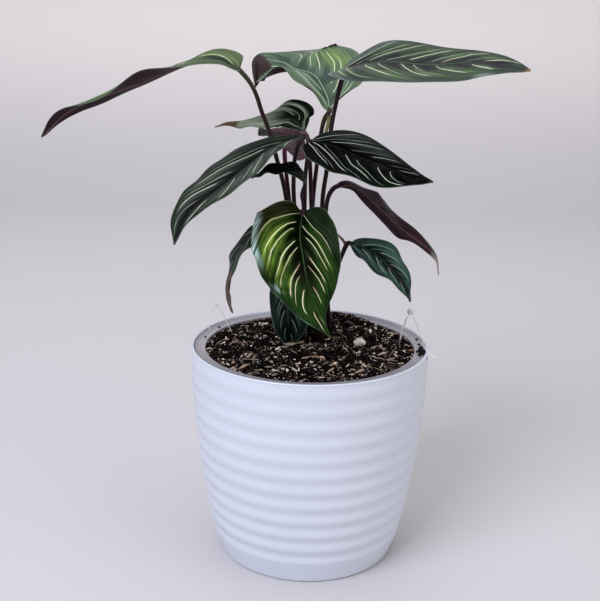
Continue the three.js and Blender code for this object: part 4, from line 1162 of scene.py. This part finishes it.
def upperFinish(name, look, length):
    material, tree, shader = newMaterial("upper side " + name, {
        "IOR": look["bending"], "Specular IOR Level": look["shine"]})
    spot = upperSpot(tree, look, length)
    along, out, streak, fine = spot.along, spot.out, spot.streak, spot.fine
    reach = out * spot.width
    byAlong, byAcross, shift = drawing["cloud"]
    cloud = noiseOf(tree, vectorOf(tree, along * byAlong, spot.across * byAcross, shift), 1.0, 3)
    fades, shares = drawing["shade"], drawing["shadeShares"]
    shade = (streak.ramp(*fades[0]) * shares[0] + fine.ramp(*fades[1]) * shares[1]
             + cloud.ramp(*fades[2]) * shares[2])
    margin = (out + (streak - 0.5) * drawing["marginSway"]).ramp(look["marginFrom"], drawing["marginTo"])
    line = paleLines(tree, look, spot)
    lineColour = blend(tree, out.ramp(*drawing["innerFade"]) * along.ramp(
        look["pinkFrom"], look["pinkFrom"] + drawing["innerEnd"]), look["line"], look["inner"])
    ribLength = along.ramp(look["ribTo"], look["ribTo"] - drawing["ribEnd"])
    slanted = along - spot.across * look["tipSlant"] + (streak - 0.5) * drawing["tipSway"]
    base = layered(tree, look["green"], [
        (brightBands(tree, look, spot), look["band"]),
        (margin * drawing["marginShare"], look["margin"]),
        (spot.origin.ramp(*drawing["lobeFade"]), blend(tree, spot.side, *look["lobe"])),
        (darkWedges(look, spot), look["dark"]),
        (shade * look["streaks"], look["dark"]),
        # painted highlights
        *paintedSheenPatches(look, spot),
        (line, lineColour),
        (reach.ramp(*drawing["ribWidth"]) * ribLength * drawing["ribShare"], look["rib"]),
        # a thin pale line along the margin: a painted highlight on the blade's edge
        ((spot.width - reach).ramp(*drawing["edgeHighlightWidth"]) * drawing["edgeHighlightShare"], look["edge"]),
        (slanted.ramp(1 - look["tipShare"], 1 - look["tipShare"] * drawing["tipFade"]), look["tip"]),
    ])
    plug(tree, shader.inputs["Base Color"], base)
    less, more = drawing["glossSpread"]
    gloss = streak.ramp(0.0, 1.0, look["gloss"] - less, look["gloss"] + more)
    plug(tree, shader.inputs["Roughness"], gloss)
    roughen(tree, shader, *drawing["bumps"], fine * 0.5 + line * 0.5)
    return material


lowerLook = {
    "upper_left": ("2a1a1f", "44303a"), "upper_back": ("2c1c18", "463029"),
    "right_folded": ("1c0f14", "543a42"), "behind": ("50303a", "8c6874"), "common": ("2e1a20", "4a2c34"),
    "dark": "10070a", "darkFade": (0.42, 0.64), "darkShare": 0.75, "rib": "7a5a58", "ribWidth": (1.2, 0.5),
    "ribShare": 0.6, "lobeFade": (0.16, 0.04), "tipFade": (0.82, 0.88),
    "streaks": (8, 1.5, 3, 0.6), "fineStreaks": (30, 2.0, 2, 0.6),
    "finish": {"IOR": 1.45, "Roughness": 0.5, "Specular IOR Level": 0.1},
}


def lowerFinish(name, look):
    # the purple underside, with the midrib paler
    material, tree, shader = newMaterial("lower side " + name, lowerLook["finish"])
    along, across, width = partsOf(tree, carried(tree, "place", "Vector"))
    row, out, *_ = veinRow(along, across, look["left"], look["right"])
    spot = SimpleNamespace(row=row, out=out, along=along)
    streak = streaksOf(tree, spot, lowerLook["streaks"])
    fine = streaksOf(tree, spot, lowerLook["fineStreaks"])
    first, second = lowerLook.get(name, lowerLook["common"])
    layers = [
        (streak.ramp(*noiseSpan), second),
        (fine.ramp(*lowerLook["darkFade"]) * lowerLook["darkShare"], lowerLook["dark"]),
        ((out * width).ramp(*lowerLook["ribWidth"]) * lowerLook["ribShare"], lowerLook["rib"])]
    if "lobeUnder" in look:
        layers.append((along.ramp(*lowerLook["lobeFade"]), look["lobeUnder"]))
    if "tipUnder" in look:
        layers.append((along.ramp(*lowerLook["tipFade"]), look["tipUnder"]))
    plug(tree, shader.inputs["Base Color"], layered(tree, first, layers))
    roughen(tree, shader, *drawing["bumps"], fine)
    return material


def plainName(words):
    return "".join(word.capitalize() for word in words.split("_"))


def makeBlades():
    tree = veinTree()
    for leaf in leaves:
        look = {**commonLook, **looks.get(leaf["name"], {})}
        piece, length = bladeMesh(leaf, "leaf" + plainName(leaf["name"]))
        values = {"Relief": bladeForm["relief"] * mm, "Upper Finish": upperFinish(leaf["name"], look, length),
                  "Lower Finish": lowerFinish(leaf["name"], look)}
        for hand in ("left", "right"):
            *arch, pairs, start = look[hand]
            values.update({hand.capitalize() + " Arch": arch, hand.capitalize() + " Pairs": pairs,
                           hand.capitalize() + " Start": start})
        growWith(piece, tree, values)
        settle(piece, "leaf", "blade_" + leaf["name"])


makeBlades()
print("blades made")

# Stalks and threads follow a path with a tree that sweeps a round section along it
stalkForm = {
    "low": 1.7, "high": 1.25, "slimming": 0.7, "joint": 1.45, "jointLength": 13, "into": 4, "endShare": 0.35,
    "endLength": 5, "foot": 132, "soilDepth": 4, "sides": 14, "step": 1.6, "smoothing": 5,
}
stalkGrain = {
    "around": 3.5, "along": 4, "tipFade": (0.82, 0.97), "streakFade": (0.5, 0.66),
    "footShade": (0.05, 0.35, 0.2, 0.75), "gloss": (0.34, 0.5), "glossFade": (0.2, 0.8),
    "bumps": (0.5, 0.15), "noise": (4, 0.6),
    "finish": {"IOR": 1.45, "Specular IOR Level": 0.15},
}


def sweepTree():
    tree, wire, last = newTree("swept rod", {"Sides": "Int", "Material": "Material"})
    path = addNode(tree, "GeometryNodeMeshToCurve", {"Mesh": wire["Geometry"]})
    ring = addNode(tree, "GeometryNodeCurvePrimitiveCircle", {"Resolution": wire["Sides"], "Radius": 1.0})
    spot = tree.nodes.new("GeometryNodeSplineParameter")
    marked = addNode(tree, "GeometryNodeStoreNamedAttribute", {
        "Geometry": ring.outputs[0], "Name": "round", "Value": spot.outputs["Factor"]},
        data_type="FLOAT", domain="POINT")
    swept = addNode(tree, "GeometryNodeCurveToMesh", {
        "Curve": path.outputs[0], "Profile Curve": marked.outputs[0], "Scale": pointValue(tree, "thick"),
        "Fill Caps": True})
    shaded = addNode(tree, "GeometryNodeSetShadeSmooth", {"Geometry": swept.outputs[0]})
    endTree(tree, shaded.outputs[0], wire["Material"], last)
    return tree


sweep = sweepTree()


def sweptPiece(name, paths, material, sides):
    # each path is a list of points with the radius, in mm, and the share of the run at each
    points, edges, thick, run = [], [], [], []
    for course, radii, marks in paths:
        edges += [(len(points) + step, len(points) + step + 1) for step in range(len(course) - 1)]
        points += list(course)
        thick += list(radii)
        run += list(marks)
    mesh = bpy.data.meshes.new(name)
    mesh.from_pydata((np.array(points) * mm).tolist(), edges, [])
    keepOnPoints(mesh, "thick", np.array(thick) * mm)
    keepOnPoints(mesh, "run", run)
    piece = linked(name, mesh)
    growWith(piece, sweep, {"Sides": sides, "Material": material})
    return piece


def stalkFinish(name, colours):
    # streaks run along the stalk; the colours are those of its skin, its streaks and its end at the blade;
    # the streaks fade out towards the foot, a painted shade where the leaves shadow the stalks' bases
    material, tree, shader = newMaterial("stalk " + name, stalkGrain["finish"])
    skin, streaked, end = colours
    run = carried(tree, "run")
    ring = carried(tree, "round") * fullTurn
    around, along = stalkGrain["around"], stalkGrain["along"]
    place = vectorOf(tree, ring.calc("COSINE") * around, ring.calc("SINE") * around, run * along)
    streak = noiseOf(tree, place, 1.0, *stalkGrain["noise"])
    plug(tree, shader.inputs["Base Color"], layered(tree, skin, [
        (run.ramp(*stalkGrain["tipFade"]), end),
        (streak.ramp(*stalkGrain["streakFade"]) * run.ramp(*stalkGrain["footShade"]), streaked)]))
    plug(tree, shader.inputs["Roughness"], streak.ramp(*stalkGrain["glossFade"], *stalkGrain["gloss"]))
    roughen(tree, shader, *stalkGrain["bumps"], streak)
    return material


stalkColours = {
    "common": ("160a0c", "54383c", "1e1012"), "upper_left": ("1c0d10", "5a3c40", "39402a"),
    "upper_back": ("1c0d10", "5a3c40", "2a2a1c"), "middle_left_small": ("2c141c", "6d3c50", "4a3a3c"),
    "behind": ("3a1826", "8a4a66", "5c2a40"), "middle_left": ("1c0d10", "5a3c44", "1c1013"),
}
sideGrowths = {
    "sheathUpperBack": {
        "course": [(4.6, 11.6, 262), (6.4, 11, 266), (8, 9.8, 272), (8.7, 8.9, 276), (8.8, 8.3, 278.6)],
        "low": 0.8, "high": 1.4, "colours": ("6e7048", "9a9a6a", "5c5e3c")},
    "spurLowerRight": {
        "course": [(20.6, -12, 203.4), (18.6, -12.6, 206.6), (15, -13, 210.4)],
        "low": 1.0, "high": 0.5, "colours": ("5a4436", "8a7460", "4a382c")},
    "steps": 16, "sides": 12,
}


def stalkCourse(leaf):
    # from below the soil's surface up the stalk and a little way into the blade
    start, after = np.array(leaf["rib"][:2], float)
    crown = tuple(leaf["crown"])
    points = [crown + (stalkForm["foot"] - stalkForm["soilDepth"],), crown + (stalkForm["foot"],)]
    points += leaf["stalk"] + [tuple(start), tuple(start + unit(after - start) * stalkForm["into"])]
    _, length = courseThrough(points, 10)
    return courseThrough(points, int(length / stalkForm["step"]))


def makeStalks():
    for leaf in leaves:
        name = leaf["name"]
        course, length = stalkCourse(leaf)
        share = np.linspace(0, 1, len(course))
        left = (1 - share) * length
        slope = stalkForm["high"] - stalkForm["low"]
        radii = stalkForm["low"] + slope * share ** stalkForm["slimming"]
        radii = np.where(left < stalkForm["jointLength"], stalkForm["joint"], radii)
        count = stalkForm["smoothing"]
        radii = np.convolve(np.pad(radii, count // 2, "edge"), np.ones(count) / count, "valid")
        radii = radii * np.clip(stalkForm["endShare"] + left / stalkForm["endLength"], 0, 1)
        radii = radii * leaf.get("slim", 1)
        finish = stalkFinish(name, stalkColours.get(name, stalkColours["common"]))
        piece = sweptPiece("stalk" + plainName(name), [(course, radii, share)], finish, stalkForm["sides"])
        settle(piece, "stalk", "stalk_" + name)


def makeSideGrowths():
    for name in ("sheathUpperBack", "spurLowerRight"):
        growth = sideGrowths[name]
        course, _ = courseThrough(growth["course"], sideGrowths["steps"])
        share = np.linspace(0, 1, len(course))
        radii = growth["low"] + (growth["high"] - growth["low"]) * share
        finish = stalkFinish(name, growth["colours"])
        settle(sweptPiece(name, [(course, radii, share)], finish, sideGrowths["sides"]), "stalk")


makeStalks()
makeSideGrowths()
print("stalks made")

# Two lifting loops of clear thread, each wound round itself at the top
threads = {
    "left": {
        "course": [
            (-51, 27, 124), (-51, 27, 131), (-52.8, 27, 136.3), (-54.6, 27, 140), (-58.2, 27.5, 147.1),
            (-62.1, 28, 152.1), (-66.5, 28, 147.2), (-69.1, 28, 143.6), (-69.8, 28, 139.9),
            (-67.6, 27.4, 138.2), (-66.5, 27, 136.2), (-66.5, 27, 132), (-66.5, 27, 128)],
        "end": [(-62.1, 28, 152.1), (-62.8, 28, 153.6), (-64.4, 28, 154.6)],
        "thickTo": 0, "thicker": 1, "woundAt": (-62.1, 28, 152.1), "turns": 3, "woundRadius": 0.8},
    "right": {
        "course": [
            (58.7, 18, 124), (58.7, 18, 131.5), (59.1, 18, 137.4), (59.5, 18, 141.6), (61, 18, 144.4),
            (61.9, 18, 147.6), (63.4, 18, 151.1), (64.6, 18, 153.5), (65.8, 18, 151.6), (68.4, 18, 146.4),
            (69.9, 18, 142.4), (71.4, 16, 138.6), (71.9, 9, 137.4), (71.7, 0, 137.1), (71.9, -8, 137.4),
            (72.6, -16, 138), (74, -21, 138), (76, -27, 137.8)],
        "end": [], "thickTo": 0.3, "thicker": 1.9, "woundAt": (64.6, 18, 153.5), "turns": 6,
        "woundRadius": 1.95},
    "radius": 0.3, "steps": 110, "endSteps": 12, "sides": 8, "thickFade": 0.04, "turnSteps": 24,
    "innermost": 0.35, "woundHalfWidth": 0.7, "wobble": 0.35, "wobbleRate": 0.37,
    "wobbleShares": (0.5, 0.4, 0.6), "colours": ("d6d2d0", "f6f3f0"), "cloudScale": 300,
    "finish": {"Roughness": 0.3, "IOR": 1.5, "Coat Weight": 0.3},
}


def nylon():
    material, tree, shader = newMaterial("clear nylon", threads["finish"])
    cloud = noiseOf(tree, objectPlace(tree), threads["cloudScale"], 2)
    plug(tree, shader.inputs["Base Color"], blend(tree, cloud, *threads["colours"]))
    return material


def woundThread(thread):
    # the small ball of turns that holds the loop together, wider and wider and a little uneven
    angles = np.linspace(0, fullTurn * thread["turns"], thread["turns"] * threads["turnSteps"] + 1)
    wobble = np.sin(angles * threads["wobbleRate"]) * threads["wobble"]
    radius = thread["woundRadius"] * np.linspace(threads["innermost"], 1, len(angles))
    (x, y, z), half = thread["woundAt"], threads["woundHalfWidth"]
    byX, byY, byZ = threads["wobbleShares"]
    return np.stack([x + (radius + wobble * byX) * np.cos(angles),
                     y + np.linspace(-half, half, len(angles)) + wobble * byY,
                     z + (radius + wobble * byZ) * np.sin(angles)], 1)


def makeThreads():
    material = nylon()
    for side in ("left", "right"):
        thread = threads[side]
        courses = [courseThrough(thread["course"], threads["steps"])[0]]
        if thread["end"]:
            courses.append(courseThrough(thread["end"], threads["endSteps"])[0])
        courses.append(woundThread(thread))
        paths = []
        for course in courses:
            share = np.linspace(0, 1, len(course))
            paths.append((course, np.full(len(course), threads["radius"]), share))
        course, radii, share = paths[0]
        doubled = eased((thread["thickTo"] - share) / threads["thickFade"]) * (thread["thicker"] - 1)
        paths[0] = (course, radii * (1 + doubled), share)
        settle(sweptPiece("thread" + side.capitalize(), paths, material, threads["sides"]),
               "clear_nylon", "pull_loop_" + side)


makeThreads()
print("threads made")

# Camera, floor and lights. Each light has its place, its aim, its width in mm, its power and its colour.
view = {"focal": 1000, "long": 601, "rise": 18.72, "distance": 634, "roll": 1.0, "aimRight": 11.2,
        "aimUp": 41.8, "aimHeight": 137, "sensor": 36}
stage = {"wide": 6000, "front": -3000, "back": 1800, "bend": 700, "bendSteps": 13, "tall": 3600, "below": 0.2,
         "low": "c6c4c8", "high": "e4dfde", "paleFrom": 0.3, "around": "f0f0f5", "aroundStrength": 0.5,
         "finish": {"Roughness": 0.6, "Specular IOR Level": 0.3}}
lights = {
    "key": ((-1000, -1300, 1500), (0, 0, 150), 1200, 38, "f3f5ff"),
    "fill": ((1500, -900, 700), (0, 0, 120), 1400, 9, "fff6ee"),
    "top": ((0, 200, 1700), (0, 0, 150), 1200, 9, "ffffff"),
    "wall": ((0, 600, 900), (0, 1800, 450), 900, 1.0, "fff8f4"),
}


def makeCamera():
    rise, far = math.radians(view["rise"]), view["distance"]
    spot = Vector((0, -far * math.cos(rise), view["aimHeight"] + far * math.sin(rise)))
    pitch = -rise + math.atan2(view["aimUp"], view["focal"])
    yaw = math.atan2(view["aimRight"], view["focal"])
    ahead = Vector((-math.sin(yaw) * math.cos(pitch), math.cos(yaw) * math.cos(pitch), math.sin(pitch)))
    right = Vector((math.cos(yaw), math.sin(yaw), 0))
    up = right.cross(ahead)
    roll = math.radians(view["roll"])
    right, up = right * math.cos(roll) + up * math.sin(roll), up * math.cos(roll) - right * math.sin(roll)
    data = bpy.data.cameras.new("camera")
    data.sensor_width = view["sensor"]
    data.lens = view["focal"] * view["sensor"] / view["long"]
    camera = linked("camera", data)
    turn = Matrix((right, up, -ahead)).transposed()
    camera.matrix_world = Matrix.Translation(spot * mm) @ turn.to_4x4()
    bpy.context.scene.camera = camera


def makeFloor():
    # a floor that bends up into a backdrop
    outline = [(stage["front"], 0), (0, 0), (stage["back"] - stage["bend"], 0)]
    for angle in np.linspace(0, math.pi / 2, stage["bendSteps"])[1:]:
        outline.append((stage["back"] - stage["bend"] * (1 - math.sin(angle)),
                        stage["bend"] * (1 - math.cos(angle))))
    outline.append((stage["back"], stage["tall"]))
    half = stage["wide"] / 2
    points = [(x, y, z - stage["below"]) for y, z in outline for x in (-half, half)]
    faces = [(2 * n, 2 * n + 1, 2 * n + 3, 2 * n + 2) for n in range(len(outline) - 1)]
    floor = newPiece("paleFloor", points, faces)
    material, tree, shader = newMaterial("pale floor", stage["finish"])
    height = partsOf(tree, objectPlace(tree))[2]
    plug(tree, shader.inputs["Base Color"],
         blend(tree, height.ramp(0.0, stage["paleFrom"]), stage["low"], stage["high"]))
    floor.data.materials.append(material)


def makeLights():
    for name, (spot, aim, size, power, colour) in lights.items():
        data = bpy.data.lights.new(name, "AREA")
        data.size = size * mm
        data.energy = power
        data.color = colourOf(colour)[:3]
        light = linked(name, data)
        light.location = Vector(spot) * mm
        light.rotation_euler = (Vector(aim) - Vector(spot)).to_track_quat("-Z", "Y").to_euler()
    world = bpy.data.worlds.new("studio")
    bpy.context.scene.world = world
    world.use_nodes = True
    back = world.node_tree.nodes["Background"]
    back.inputs["Color"].default_value = colourOf(stage["around"])
    back.inputs["Strength"].default_value = stage["aroundStrength"]
    bpy.context.scene.view_settings.view_transform = "Standard"


makeCamera()
makeFloor()
makeLights()
print("camera, floor and lights made")
